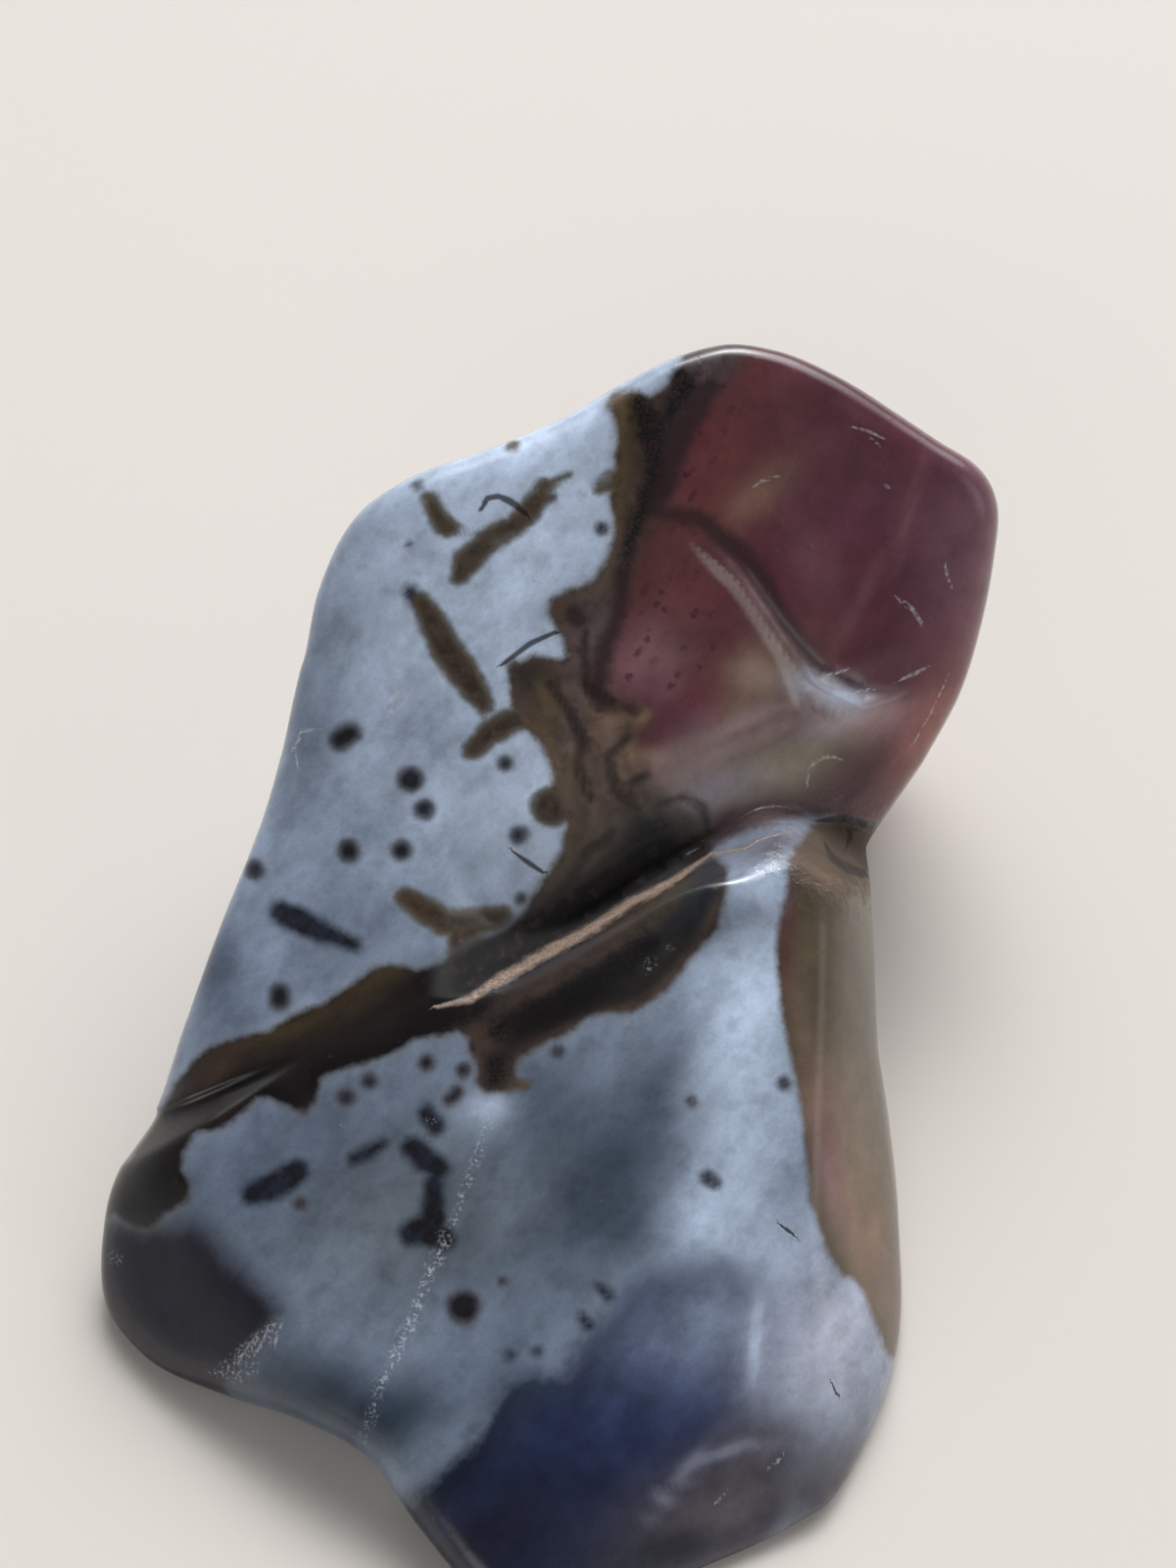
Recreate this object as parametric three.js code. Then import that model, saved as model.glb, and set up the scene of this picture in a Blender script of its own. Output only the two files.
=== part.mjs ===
// A polychrome jasper tumbled stone, about 50 mm long: one closed solid that rests on a worn flat foot.
// Millimetres, +Z up. The origin is on the ground under the middle of the stone's box.
//
// The stone is one field, negative inside. Its polished front is written in a frame that leans back with
// it: u runs to the right, v up the face and w out of it. The hidden back, flanks, underside and foot are
// written in x, y and z. The surface is where the field is zero, met along rays that fan out from a
// bent sheet inside the stone.
import * as THREE from 'three';
import { mergeVertices } from 'three/addons/utils/BufferGeometryUtils.js';

// Leaning frame of the polished front
const FACE_TILT = THREE.MathUtils.degToRad(50); // the face's normal above the horizontal
const FACE_HEIGHT = 9.3; // its origin above the ground
const UP_FACE = { y: Math.sin(FACE_TILT), z: Math.cos(FACE_TILT) };
const OUT_OF_FACE = { y: -Math.cos(FACE_TILT), z: Math.sin(FACE_TILT) };

// Outline of the stone seen square to the face, [u, v], clockwise from the left shoulder
const OUTLINE = [
  [-12.7, 5.6], [-11.9, 8.6], [-10.3, 11.5], [-7.8, 13.3], [-4.3, 14.6], [-1.2, 15.9], [1.8, 17.7],
  [4.0, 19.1], [6.2, 19.9], [8.4, 19.4], [10.8, 18.1], [13.2, 16.6], [15.4, 15.2], [17.3, 14.0],
  [18.4, 12.3], [18.6, 10.2], [18.5, 7.4], [17.7, 4.3], [15.8, 1.4], [13.8, -1.0], [12.5, -3.0],
  [12.3, -6.0], [12.4, -11.0], [13.1, -14.6], [13.9, -18.4], [14.0, -22.4], [13.1, -26.5], [10.1, -28.9],
  [6.4, -31.6], [0.3, -32.6], [-2.6, -31.6], [-4.7, -30.2], [-6.5, -28.3], [-8.5, -26.0], [-11.4, -24.9],
  [-14.5, -24.4], [-17.8, -23.7], [-19.8, -21.9], [-21.1, -19.2], [-20.9, -16.6], [-18.5, -13.7],
  [-17.7, -10.3], [-17.3, -5.2], [-15.1, 0.4],
];
const OUTLINE_MIDDLE = [-1.6, -6.5];

// Worn facets of the front: a point [u, v, w] on each, its slopes dw/du and dw/dv, and the width over
// which it rounds into those before it
const HEAD = {
  grey: { at: [-6.2, 5.0, 2.5], slope: [0.04, -0.10] },
  red: { at: [11.3, 11.5, 0.7], slope: [-0.13, -0.02], blend: 1.5 },
  olive: { at: [10.0, 3.6, 1.6], slope: [-0.331, 0.262], blend: 1.2 },
  cheek: { at: [15.2, 3.4, -0.5], slope: [-0.40, 0.30], blend: 3.0 },
};
const BODY = {
  middle: { at: [0.0, -21.3, 12.0], slope: [0.05, -0.55] },
  left: { at: [-6.2, -9.2, 3.9], slope: [-0.13, -0.52], blend: 2.0 },
  hump: { at: [7.5, -7.75, 9.2], slope: [0.45, -0.22], blend: 3.0 },
  near: { at: [0.0, -21.3, 12.0], slope: [-0.09, -0.33], blend: 0.8 },
  leftLobe: { at: [-13.5, -19.5, 10.3], slope: [0.50, -0.10], blend: 1.5 },
  corner: { at: [9.5, -22.9, 11.2], slope: [-0.50, -0.18], blend: 1.2 },
  nearEnd: { at: [4.7, -25.9, 13.1], slope: [-0.26, -0.04], blend: 0.3 },
  rightWall: { at: [8.1, -7.75, 9.3], slope: [-1.50, -0.24], blend: 1.1 },
};

// Shallow dishes and knobs on the front: middle [u, v], half-widths, turn in degrees, height in w
const RED_DISH = { at: [12.3, 10.6], size: [3.8, 4.8], turn: 35, height: -0.85 };
const DOTTED_DISH = { at: [4.6, 6.0], size: [2.4, 3.4], turn: 20, height: -0.45 };
const SHOULDER_KNOB = { at: [6.0, -4.4], size: [2.0, 1.8], turn: 0, height: 0.9 };
const NECK_NOTCH = { at: [10.6, -2.7], size: [1.5, 1.1], turn: -30, height: -0.6 };
const WALL_SWELL = { at: [11.6, -22.3], size: [2.7, 3.6], turn: -30, height: 1.8 };

// Rounded crest between the red dish and the dotted one
const CREST = [
  [3.2, 12.0], [5.2, 10.0], [6.5, 8.8], [7.8, 6.9], [9.7, 4.2], [11.8, 3.1], [13.8, 3.7],
  [15.5, 4.7],
];
const CREST_FORM = { height: 0.25, width: 0.8, fade: 0.25 }; // the fade is a share of its length
const CREST_SADDLE = { at: 0.70, spread: 0.15, height: 0.55, width: 0.3 }; // where it swells

// The body's lip over the valley: its v is low at the left, rises to the right and turns down at the neck
const LIP = { low: -9.0, rise: 6.3, rising: { start: -6.6, run: 14.5 } };
const LIP_END = { drop: 1.4, falling: { start: 8.0, run: 4.0 } };
const LIP_SLANT = 0.9; // distance past the slanting lip for each mm of v
const LIP_ROUNDING = { usual: 0.55, extra: 0.5, at: 6.4, width: 1.7 }; // widest at the shoulder
const LIP_WEAR = 0.22; // share of its rounding that the lip has lost in height

// The step down from the lip, none at the left, and how it rounds into the head below it
const STEP_STEEPNESS = 8.0;
const STEP_GROWING = { start: -7.0, run: 8.5 };
const STEP_EASING = { lost: 5.0, growing: { start: 4.0, run: 3.5 } }; // gentler behind the hump
const VALLEY_BLEND = { wide: 2.5, lost: 2.0, narrowing: { start: -9.0, run: 8.0 } };

// Crack at the foot of the step, fading at both ends
const CRACK = { offset: 0.45, width: 0.33, depth: 0.8 };
const CRACK_OPENING = { start: -5.5, run: 3.5 };
const CRACK_CLOSING = { start: 8.2, run: -2.0 };

// Rounding of the front's rim: tight round the head, softer near the ground and widest on the left flank
const RIM_TIGHT = 2.0;
const RIM_NEAR = { extra: 0.4, growing: { start: 4.0, run: -8.0 } };
const RIM_FLANK = {
  extra: 1.6,
  alongU: { start: -8.0, run: -6.0 },
  belowHead: { start: 7.0, run: -6.0 },
  aboveFoot: { start: -22.0, run: 6.0 },
};
const FRONT_LEAN = 0.93; // distance to the sloping front for each mm of height over the face

// Hidden side, in x, y, z: each plane has an outward normal and a point, and a rounding to its neighbours
const HIDDEN = {
  back: { normal: [0, 0.94, -0.34], through: [0, 17.5, 14], rounding: 4 },
  brow: { normal: [0, 0.93, 0.36], through: [0, 18.9, 14], rounding: 2 },
  underHead: { normal: [0, 0.31, -0.95], through: [0, 6.5, 0], rounding: 4 },
  leftFlank: { normal: [-0.72, 0.54, -0.55], through: [-22.5, -21, 0], rounding: 3 },
  rightFlank: { normal: [0.94, 0, -0.34], through: [14.2, 0, 0], rounding: 2 },
};
const HIDDEN_ROUNDING = 3.0; // between the front's rim and the hidden side
const FOOT_ROUNDING = 1.0;
// Old fracture hollows on the hidden side, and one swelling: middle, radius and depth
const HOLLOWS = [
  { at: [3, 18, 12], radius: 5.5, depth: 0.9 },
  { at: [-12, 1, 5], radius: 6, depth: 0.8 },
  { at: [5, 13, 2], radius: 6, depth: 0.7 },
  { at: [17, 5, 6], radius: 4, depth: 0.6 },
  { at: [-5, 14, 9], radius: 4, depth: -0.5 },
];
// Low waves left by the tumbling: radians for each mm along x, y and z, and their starts
const WAVES = { height: 0.25, turns: [0.35, 0.31, 0.37], starts: [1.3, 0.4, 2.0] };

// Sheet inside the stone that the rays leave from: its share of the outline's reach, and its w over the
// face, which bends with v and rises to the left, where the flank cuts under
const SHEET_SHARE = 0.65;
const SHEET = { level: -4.4, slope: -0.30, bend: 0.012, leftRise: 0.22, leftSoftness: 4 };
const DIVISIONS = [26, 36, 22]; // of the skin along u, v and w
const RAY_STEP = 0.5;
const RAY_HALVINGS = 26;
const FOOT_SNAP = 0.002; // a vertex nearer the ground than this lies on it

const STONE = { color: 0x8b98a3, roughness: 0.2, metalness: 0.0 };

const clamp01 = (t) => Math.min(Math.max(t, 0), 1);
const ease = (t) => clamp01(t) ** 2 * (3 - 2 * clamp01(t));
const ramp = (t, { start, run }) => ease((t - start) / run);

// Larger of two values, rounded over where they differ by less than the band
function smoothMax(a, b, band) {
  const nearness = Math.max(band - Math.abs(a - b), 0) / band;
  return Math.max(a, b) + (nearness * nearness * band) / 4;
}

const smoothMin = (a, b, band) => -smoothMax(-a, -b, band);

const facetHeight = (facet, u, v) =>
  facet.at[2] + facet.slope[0] * (u - facet.at[0]) + facet.slope[1] * (v - facet.at[1]);

// Gaussian swelling or dish, turned in the face
function swelling(form, u, v) {
  const turn = THREE.MathUtils.degToRad(form.turn);
  const du = u - form.at[0];
  const dv = v - form.at[1];
  const a = (Math.cos(turn) * du + Math.sin(turn) * dv) / form.size[0];
  const b = (Math.cos(turn) * dv - Math.sin(turn) * du) / form.size[1];
  return form.height * Math.exp(-(a * a + b * b));
}

// Distance to a run of straight lines, and how far along it the nearest point is, 0 to 1
function nearRun(points, u, v) {
  const lengths = points.slice(1).map((p, i) => Math.hypot(p[0] - points[i][0], p[1] - points[i][1]));
  const total = lengths.reduce((sum, length) => sum + length, 0);
  let walked = 0;
  let nearest = { distance: Infinity, share: 0 };
  lengths.forEach((length, i) => {
    const [au, av] = points[i];
    const du = points[i + 1][0] - au;
    const dv = points[i + 1][1] - av;
    const t = clamp01(((u - au) * du + (v - av) * dv) / (length * length));
    const distance = Math.hypot(u - au - t * du, v - av - t * dv);
    if (distance < nearest.distance) nearest = { distance, share: (walked + t * length) / total };
    walked += length;
  });
  return nearest;
}

// The outline as a radius about its middle, a smooth curve through its points in order of angle
const outlineKnots = OUTLINE.map(([u, v]) => ({
  angle: Math.atan2(v - OUTLINE_MIDDLE[1], u - OUTLINE_MIDDLE[0]),
  radius: Math.hypot(u - OUTLINE_MIDDLE[0], v - OUTLINE_MIDDLE[1]),
})).sort((a, b) => a.angle - b.angle);

function outlineKnot(index) {
  const count = outlineKnots.length;
  const turns = Math.floor(index / count);
  const knot = outlineKnots[index - turns * count];
  return { angle: knot.angle + turns * 2 * Math.PI, radius: knot.radius };
}

// Radius of the outline at an angle, and its slope: a cubic between the two points on either side
function outlineReach(angle) {
  const next = outlineKnots.findIndex((knot) => knot.angle > angle);
  const i = (next < 0 ? outlineKnots.length : next) - 1;
  const [a, b, c, d] = [i - 1, i, i + 1, i + 2].map(outlineKnot);
  const span = c.angle - b.angle;
  const slopeB = (c.radius - a.radius) / (c.angle - a.angle);
  const slopeC = (d.radius - b.radius) / (d.angle - b.angle);
  const t = (angle - b.angle) / span;
  const fromC = t * t * (3 - 2 * t);
  const bendB = t * (1 - t) ** 2 * span;
  const bendC = t * t * (t - 1) * span;
  const radius = b.radius + fromC * (c.radius - b.radius) + bendB * slopeB + bendC * slopeC;
  const slope = (6 * t * (1 - t) * (c.radius - b.radius)) / span
    + (1 - t) * (1 - 3 * t) * slopeB + t * (3 * t - 2) * slopeC;
  return { radius, slope };
}

function headHeight(u, v) {
  const red = facetHeight(HEAD.red, u, v) + swelling(RED_DISH, u, v);
  let w = smoothMin(facetHeight(HEAD.grey, u, v), red, HEAD.red.blend);
  w = smoothMin(w, facetHeight(HEAD.olive, u, v), HEAD.olive.blend);
  w = smoothMin(w, facetHeight(HEAD.cheek, u, v), HEAD.cheek.blend);
  w += swelling(DOTTED_DISH, u, v);
  const crest = nearRun(CREST, u, v);
  const fade = ease(crest.share / CREST_FORM.fade) * ease((1 - crest.share) / CREST_FORM.fade);
  const saddle = Math.exp(-(((crest.share - CREST_SADDLE.at) / CREST_SADDLE.spread) ** 2));
  const height = CREST_FORM.height + CREST_SADDLE.height * saddle;
  const width = CREST_FORM.width + CREST_SADDLE.width * saddle;
  return w + height * fade * Math.exp(-((crest.distance / width) ** 2));
}

function bodyHeight(u, v) {
  let w = smoothMax(facetHeight(BODY.middle, u, v), facetHeight(BODY.left, u, v), BODY.left.blend);
  w = smoothMax(w, facetHeight(BODY.hump, u, v), BODY.hump.blend);
  w = smoothMin(w, facetHeight(BODY.near, u, v), BODY.near.blend);
  w = smoothMin(w, facetHeight(BODY.leftLobe, u, v), BODY.leftLobe.blend);
  w = smoothMin(w, facetHeight(BODY.corner, u, v), BODY.corner.blend);
  w = smoothMin(w, facetHeight(BODY.nearEnd, u, v), BODY.nearEnd.blend);
  const wall = facetHeight(BODY.rightWall, u, v) + swelling(WALL_SWELL, u, v);
  w = smoothMin(w, wall, BODY.rightWall.blend);
  return w + swelling(SHOULDER_KNOB, u, v) + swelling(NECK_NOTCH, u, v);
}

const lipLine = (u) => LIP.low + LIP.rise * ramp(u, LIP.rising) - LIP_END.drop * ramp(u, LIP_END.falling);

// Height of the whole front over the face: head and body, with the step and the crack between them
function frontHeight(u, v) {
  const past = (v - lipLine(u)) * LIP_SLANT;
  const swell = Math.exp(-(((u - LIP_ROUNDING.at) / LIP_ROUNDING.width) ** 2));
  const rounding = LIP_ROUNDING.usual + LIP_ROUNDING.extra * swell;
  const rounded = (past + Math.hypot(past, rounding)) / 2 - LIP_WEAR * rounding;
  const steepness = STEP_STEEPNESS - STEP_EASING.lost * ramp(u, STEP_EASING.growing);
  const fall = steepness * clamp01((u - STEP_GROWING.start) / STEP_GROWING.run) ** 2;
  const body = bodyHeight(u, v) - fall * Math.max(rounded, 0);
  const blend = VALLEY_BLEND.wide - VALLEY_BLEND.lost * ramp(u, VALLEY_BLEND.narrowing);
  const open = ramp(u, CRACK_OPENING) * ramp(u, CRACK_CLOSING);
  const crack = CRACK.depth * open * Math.exp(-(((past - CRACK.offset) / CRACK.width) ** 2));
  return smoothMax(headHeight(u, v), body, blend) - crack;
}

function rimRounding(u, v) {
  const flank = ramp(u, RIM_FLANK.alongU) * ramp(v, RIM_FLANK.belowHead) * ramp(v, RIM_FLANK.aboveFoot);
  return RIM_TIGHT + RIM_NEAR.extra * ramp(v, RIM_NEAR.growing) + RIM_FLANK.extra * flank;
}

function hiddenSide(x, y, z) {
  const point = [x, y, z];
  let f = -Infinity;
  for (const { normal, through, rounding } of Object.values(HIDDEN)) {
    const beyond = normal.reduce((sum, n, axis) => sum + n * (point[axis] - through[axis]), 0);
    f = f === -Infinity ? beyond : smoothMax(f, beyond, rounding);
  }
  for (const { at, radius, depth } of HOLLOWS) {
    const far = Math.hypot(x - at[0], y - at[1], z - at[2]) / radius;
    f += depth * Math.exp(-far * far);
  }
  const wave = point.reduce((sum, p, axis) => sum * Math.sin(WAVES.turns[axis] * p + WAVES.starts[axis]), 1);
  return f + WAVES.height * wave;
}

// The whole stone as a field over the leaning frame, negative inside
function stoneField(u, v, w) {
  const y = UP_FACE.y * v + OUT_OF_FACE.y * w;
  const z = FACE_HEIGHT + UP_FACE.z * v + OUT_OF_FACE.z * w;
  const du = u - OUTLINE_MIDDLE[0];
  const dv = v - OUTLINE_MIDDLE[1];
  const { radius, slope } = outlineReach(Math.atan2(dv, du));
  const side = (Math.hypot(du, dv) - radius) / Math.hypot(1, slope / radius);
  const front = (w - frontHeight(u, v)) * FRONT_LEAN;
  let f = smoothMax(front, side, rimRounding(u, v));
  f = smoothMax(f, hiddenSide(u, y, z), HIDDEN_ROUNDING);
  return smoothMax(f, -z, FOOT_ROUNDING);
}

// Point of the skin that a ray in a direction meets: walked out in steps, then halved onto it
function skinPoint(direction) {
  const share = SHEET_SHARE * outlineReach(Math.atan2(direction.y, direction.x)).radius;
  const u = OUTLINE_MIDDLE[0] + share * direction.x;
  const v = OUTLINE_MIDDLE[1] + share * direction.y;
  const leftward = (Math.hypot(u, SHEET.leftSoftness) - u) / 2;
  const w = SHEET.level + SHEET.slope * v + SHEET.bend * v * v + SHEET.leftRise * leftward;
  const start = new THREE.Vector3(u, v, w);
  const fieldAt = (t) => stoneField(
    start.x + t * direction.x, start.y + t * direction.y, start.z + t * direction.z);
  let outside = RAY_STEP;
  while (fieldAt(outside) < 0) outside += RAY_STEP;
  let inside = outside - RAY_STEP;
  for (let i = 0; i < RAY_HALVINGS; i += 1) {
    const half = (inside + outside) / 2;
    if (fieldAt(half) < 0) inside = half;
    else outside = half;
  }
  return start.addScaledVector(direction, inside);
}

// A cube's divided faces, spread evenly over the directions and pulled onto the stone's skin
function stoneGeometry() {
  const box = new THREE.BoxGeometry(2, 2, 2, ...DIVISIONS);
  box.deleteAttribute('normal');
  box.deleteAttribute('uv');
  const skin = mergeVertices(box, 1e-6);
  skin.clearGroups();
  const positions = skin.getAttribute('position');
  const spread = (t) => Math.tan((t * Math.PI) / 4);
  for (let i = 0; i < positions.count; i += 1) {
    const direction = new THREE.Vector3(
      spread(positions.getX(i)), spread(positions.getY(i)), spread(positions.getZ(i))).normalize();
    const { x: u, y: v, z: w } = skinPoint(direction);
    const y = UP_FACE.y * v + OUT_OF_FACE.y * w;
    const z = FACE_HEIGHT + UP_FACE.z * v + OUT_OF_FACE.z * w;
    positions.setXYZ(i, u, y, Math.abs(z) < FOOT_SNAP ? 0 : z);
  }
  skin.computeBoundingBox();
  const middle = skin.boundingBox.getCenter(new THREE.Vector3());
  skin.translate(-middle.x, -middle.y, 0);
  skin.computeVertexNormals();
  return skin;
}

const stone = new THREE.Mesh(stoneGeometry(), new THREE.MeshStandardMaterial(STONE));
stone.name = 'jasper_stone';

const group = new THREE.Group();
group.add(stone);
export default group;
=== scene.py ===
"""Polychrome jasper tumbled stone, about 50 mm long, dressed for rendering.

The stone is one piece, a fine closed skin over the same worn facets as the plain solid. Its jasper markings
are inclusions placed in the stone: zones that go right through it, veins and streaks that end inside it,
and scattered ones on the sides that the front view hides. A few pale clouds and lines among them are
painted highlights and sheen, and a few dark ones painted shade. Lengths are millimetres until the mesh is
made.
A marking's places lie on the front's own plane as the eye sees it, to the right and up, and the third
number of a streak's place is its half-width.
"""

import logging
import math
from dataclasses import dataclass
from dataclasses import field
from enum import Enum

import bpy
import numpy as np
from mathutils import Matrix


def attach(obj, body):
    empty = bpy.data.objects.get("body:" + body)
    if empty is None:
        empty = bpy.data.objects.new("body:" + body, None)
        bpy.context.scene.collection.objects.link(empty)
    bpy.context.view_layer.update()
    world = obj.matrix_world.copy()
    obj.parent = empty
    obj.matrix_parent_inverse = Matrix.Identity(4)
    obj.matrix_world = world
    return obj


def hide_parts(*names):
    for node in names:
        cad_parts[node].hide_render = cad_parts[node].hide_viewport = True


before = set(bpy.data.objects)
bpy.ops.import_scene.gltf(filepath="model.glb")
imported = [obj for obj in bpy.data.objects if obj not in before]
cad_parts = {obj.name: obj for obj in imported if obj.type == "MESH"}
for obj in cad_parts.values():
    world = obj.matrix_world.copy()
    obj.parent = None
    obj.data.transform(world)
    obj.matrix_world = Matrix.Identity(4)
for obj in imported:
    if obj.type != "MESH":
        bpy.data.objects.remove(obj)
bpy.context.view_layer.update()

LOG = logging.getLogger("jasper")
Array = np.ndarray
Socket = bpy.types.NodeSocket
Pair = tuple[float, float]
Triple = tuple[float, float, float]
MM = 0.001


def clamp01(t: Array) -> Array:
    """Values held between 0 and 1."""
    return np.clip(t, 0.0, 1.0)


def ease(t: Array) -> Array:
    """Smooth step from 0 to 1: three times the square less twice the cube of the held value."""
    held = clamp01(t)
    return held * held * (3.0 - 2.0 * held)


def bell(t: Array) -> Array:
    """Bell curve: e to minus the square of the value."""
    return np.exp(-t * t)


def turned_bell(du: Array, dv: Array, size: Pair, turn: float) -> Array:
    """Bell over a turned oval.

    Args:
        du: Way from its middle along the first coordinate.
        dv: Way from its middle along the second.
        size: The oval's two half-widths.
        turn: Its turn from the first coordinate, in degrees.

    Returns:
        e to minus the sum of the squares of the turned ways, each over its own half-width.
    """
    angle = math.radians(turn)
    a = (math.cos(angle) * du + math.sin(angle) * dv) / size[0]
    b = (math.cos(angle) * dv - math.sin(angle) * du) / size[1]
    return np.exp(-(a * a + b * b))


def smooth_max(a: Array, b: Array, band: Array | float) -> Array:
    """Larger of two fields, rounded over where they differ by less than the band.

    Args:
        a: First field.
        b: Second field.
        band: Difference below which the two round into each other.

    Returns:
        The larger value, plus a quarter of the band times the square of how near the two are.
    """
    nearness = np.maximum(band - np.abs(a - b), 0.0) / band
    return np.maximum(a, b) + nearness * nearness * band / 4.0


def smooth_min(a: Array, b: Array, band: Array | float) -> Array:
    """Smaller of two fields, rounded over like smooth_max."""
    return -smooth_max(-a, -b, band)


@dataclass(frozen=True)
class Rise:
    """Smooth step of a coordinate, from its start over its run."""

    start: float
    run: float

    def at(self, t: Array) -> Array:
        """Share risen at a coordinate, 0 to 1."""
        return ease((t - self.start) / self.run)


@dataclass(frozen=True)
class Facet:
    """Worn facet of the front: a point on it, its slopes, and how widely it rounds into those before."""

    at: Triple
    slope: Pair
    blend: float = 1.0

    def height(self, u: Array, v: Array) -> Array:
        """Height over the face: the point's own, plus each slope times the way from it."""
        return self.at[2] + self.slope[0] * (u - self.at[0]) + self.slope[1] * (v - self.at[1])


@dataclass(frozen=True)
class Swelling:
    """Shallow knob or dish on the front, a turned bell curve."""

    at: Pair
    size: Pair
    turn: float
    rise: float

    def height(self, u: Array, v: Array) -> Array:
        """The rise times the bell of the way from the middle."""
        return self.rise * turned_bell(u - self.at[0], v - self.at[1], self.size, self.turn)


@dataclass(frozen=True)
class HiddenPlane:
    """Worn plane of the hidden side, with its outward normal and a point on it."""

    normal: Triple
    through: Triple
    rounding: float

    def beyond(self, points: Array) -> Array:
        """Distance past the plane: the normal times the way from its point."""
        return (points - np.array(self.through)) @ np.array(self.normal)


@dataclass(frozen=True)
class Hollow:
    """Old fracture hollow of the hidden side, or a swelling where its depth is negative."""

    at: Triple
    radius: float
    depth: float

    def cut(self, points: Array) -> Array:
        """The depth times the bell of the way from the middle in radii."""
        return self.depth * bell(np.linalg.norm(points - np.array(self.at), axis=1) / self.radius)


@dataclass(frozen=True)
class Wave:
    """Slow wave through the stone: its height, how fast it turns along u, v and w, and its start."""

    height: float
    turns: Triple
    start: float = 0.0

    def at(self, skin: Array) -> Array:
        """The height times the sine of the start plus the sum of each coordinate times its turn."""
        return self.height * np.sin(skin @ np.array(self.turns) + self.start)


def near_run(points: Array, u: Array, v: Array) -> tuple[Array, Array, Array]:
    """Distance to a run of straight lines, how far along it the nearest point is, and on which side.

    Args:
        points: Corners of the run, one row each.
        u: First coordinate of the places.
        v: Second coordinate of the places.

    Returns:
        The smallest distance to any of the lines, the length walked to it over the whole length, and the
        same distance signed: positive to the left of the run as it is walked.
    """
    ways = np.diff(points[:, :2], axis=0)
    lengths = np.hypot(ways[:, 0], ways[:, 1])
    walked = np.concatenate([[0.0], np.cumsum(lengths)])
    du = u[:, None] - points[None, :-1, 0]
    dv = v[:, None] - points[None, :-1, 1]
    t = clamp01((du * ways[:, 0] + dv * ways[:, 1]) / np.maximum(lengths**2, 1e-9))
    far = np.hypot(du - t * ways[:, 0], dv - t * ways[:, 1])
    nearest = np.argmin(far, axis=1)
    rows = np.arange(len(u))
    share = (walked[nearest] + t[rows, nearest] * lengths[nearest]) / walked[-1]
    left = ways[nearest, 0] * dv[rows, nearest] - ways[nearest, 1] * du[rows, nearest]
    return far[rows, nearest], share, far[rows, nearest] * np.sign(left)


OUTLINE = (
    (-12.7, 5.6), (-11.9, 8.6), (-10.3, 11.5), (-7.8, 13.3), (-4.3, 14.6), (-1.2, 15.9),
    (1.8, 17.7), (4.0, 19.1), (6.2, 19.9), (8.4, 19.4), (10.8, 18.1), (13.2, 16.6),
    (15.4, 15.2), (17.3, 14.0), (18.4, 12.3), (18.6, 10.2), (18.5, 7.4), (17.7, 4.3),
    (15.8, 1.4), (13.8, -1.0), (12.5, -3.0), (12.3, -6.0), (12.4, -11.0), (13.1, -14.6),
    (13.9, -18.4), (14.0, -22.4), (13.1, -26.5), (10.1, -28.9), (6.4, -31.6), (0.3, -32.6),
    (-2.6, -31.6), (-4.7, -30.2), (-6.5, -28.3), (-8.5, -26.0), (-11.4, -24.9), (-14.5, -24.4),
    (-17.8, -23.7), (-19.8, -21.9), (-21.1, -19.2), (-20.9, -16.6), (-18.5, -13.7), (-17.7, -10.3),
    (-17.3, -5.2), (-15.1, 0.4),
)


@dataclass(frozen=True)
class Outline:
    """Outline of the stone seen square to the face: a radius about a middle, smooth through its points."""

    points: tuple[Pair, ...] = OUTLINE
    middle: Pair = (-1.6, -6.5)

    def knots(self) -> tuple[Array, Array]:
        """Points by angle.

        Returns:
            Their angles and radii about the middle in order, with two more past either end.
        """
        ways = np.array(self.points) - np.array(self.middle)
        angles = np.arctan2(ways[:, 1], ways[:, 0])
        order = np.argsort(angles)
        angles = angles[order]
        radii = np.hypot(ways[order, 0], ways[order, 1])
        turn = 2.0 * math.pi
        angles = np.concatenate([angles[-2:] - turn, angles, angles[:3] + turn])
        radii = np.concatenate([radii[-2:], radii, radii[:3]])
        return angles, radii

    def reach(self, angle: Array) -> tuple[Array, Array]:
        """Radius of the outline in a direction.

        Args:
            angle: Directions from the middle, in radians.

        Returns:
            The radius, a cubic between two points with the slopes of their pairs, and its own slope.
        """
        angles, radii = self.knots()
        i = np.searchsorted(angles, angle, side="right") - 1
        span = angles[i + 1] - angles[i]
        grown = radii[i + 1] - radii[i]
        slope_b = (radii[i + 1] - radii[i - 1]) / (angles[i + 1] - angles[i - 1])
        slope_c = (radii[i + 2] - radii[i]) / (angles[i + 2] - angles[i])
        t = (angle - angles[i]) / span
        radius = radii[i] + t * t * (3.0 - 2.0 * t) * grown
        radius = radius + t * (1.0 - t) ** 2 * span * slope_b + t * t * (t - 1.0) * span * slope_c
        slope = 6.0 * t * (1.0 - t) * grown / span + (1.0 - t) * (1.0 - 3.0 * t) * slope_b
        return radius, slope + t * (3.0 * t - 2.0) * slope_c


@dataclass(frozen=True)
class LeaningFace:
    """Frame of the polished front: u to the right, v up the face, w out of it, leaning back."""

    tilt: float = 50.0
    height: float = 9.3

    def place(self, u: Array, v: Array, w: Array) -> Array:
        """Points of the face's frame in x, y, z.

        Args:
            u: Places to the right on the face.
            v: Places up the face.
            w: Heights out of the face.

        Returns:
            One row each: v and w turned by the tilt, and raised by the face's height.
        """
        sine = math.sin(math.radians(self.tilt))
        cosine = math.cos(math.radians(self.tilt))
        return np.stack([u, sine * v - cosine * w, self.height + cosine * v + sine * w], axis=1)


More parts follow.
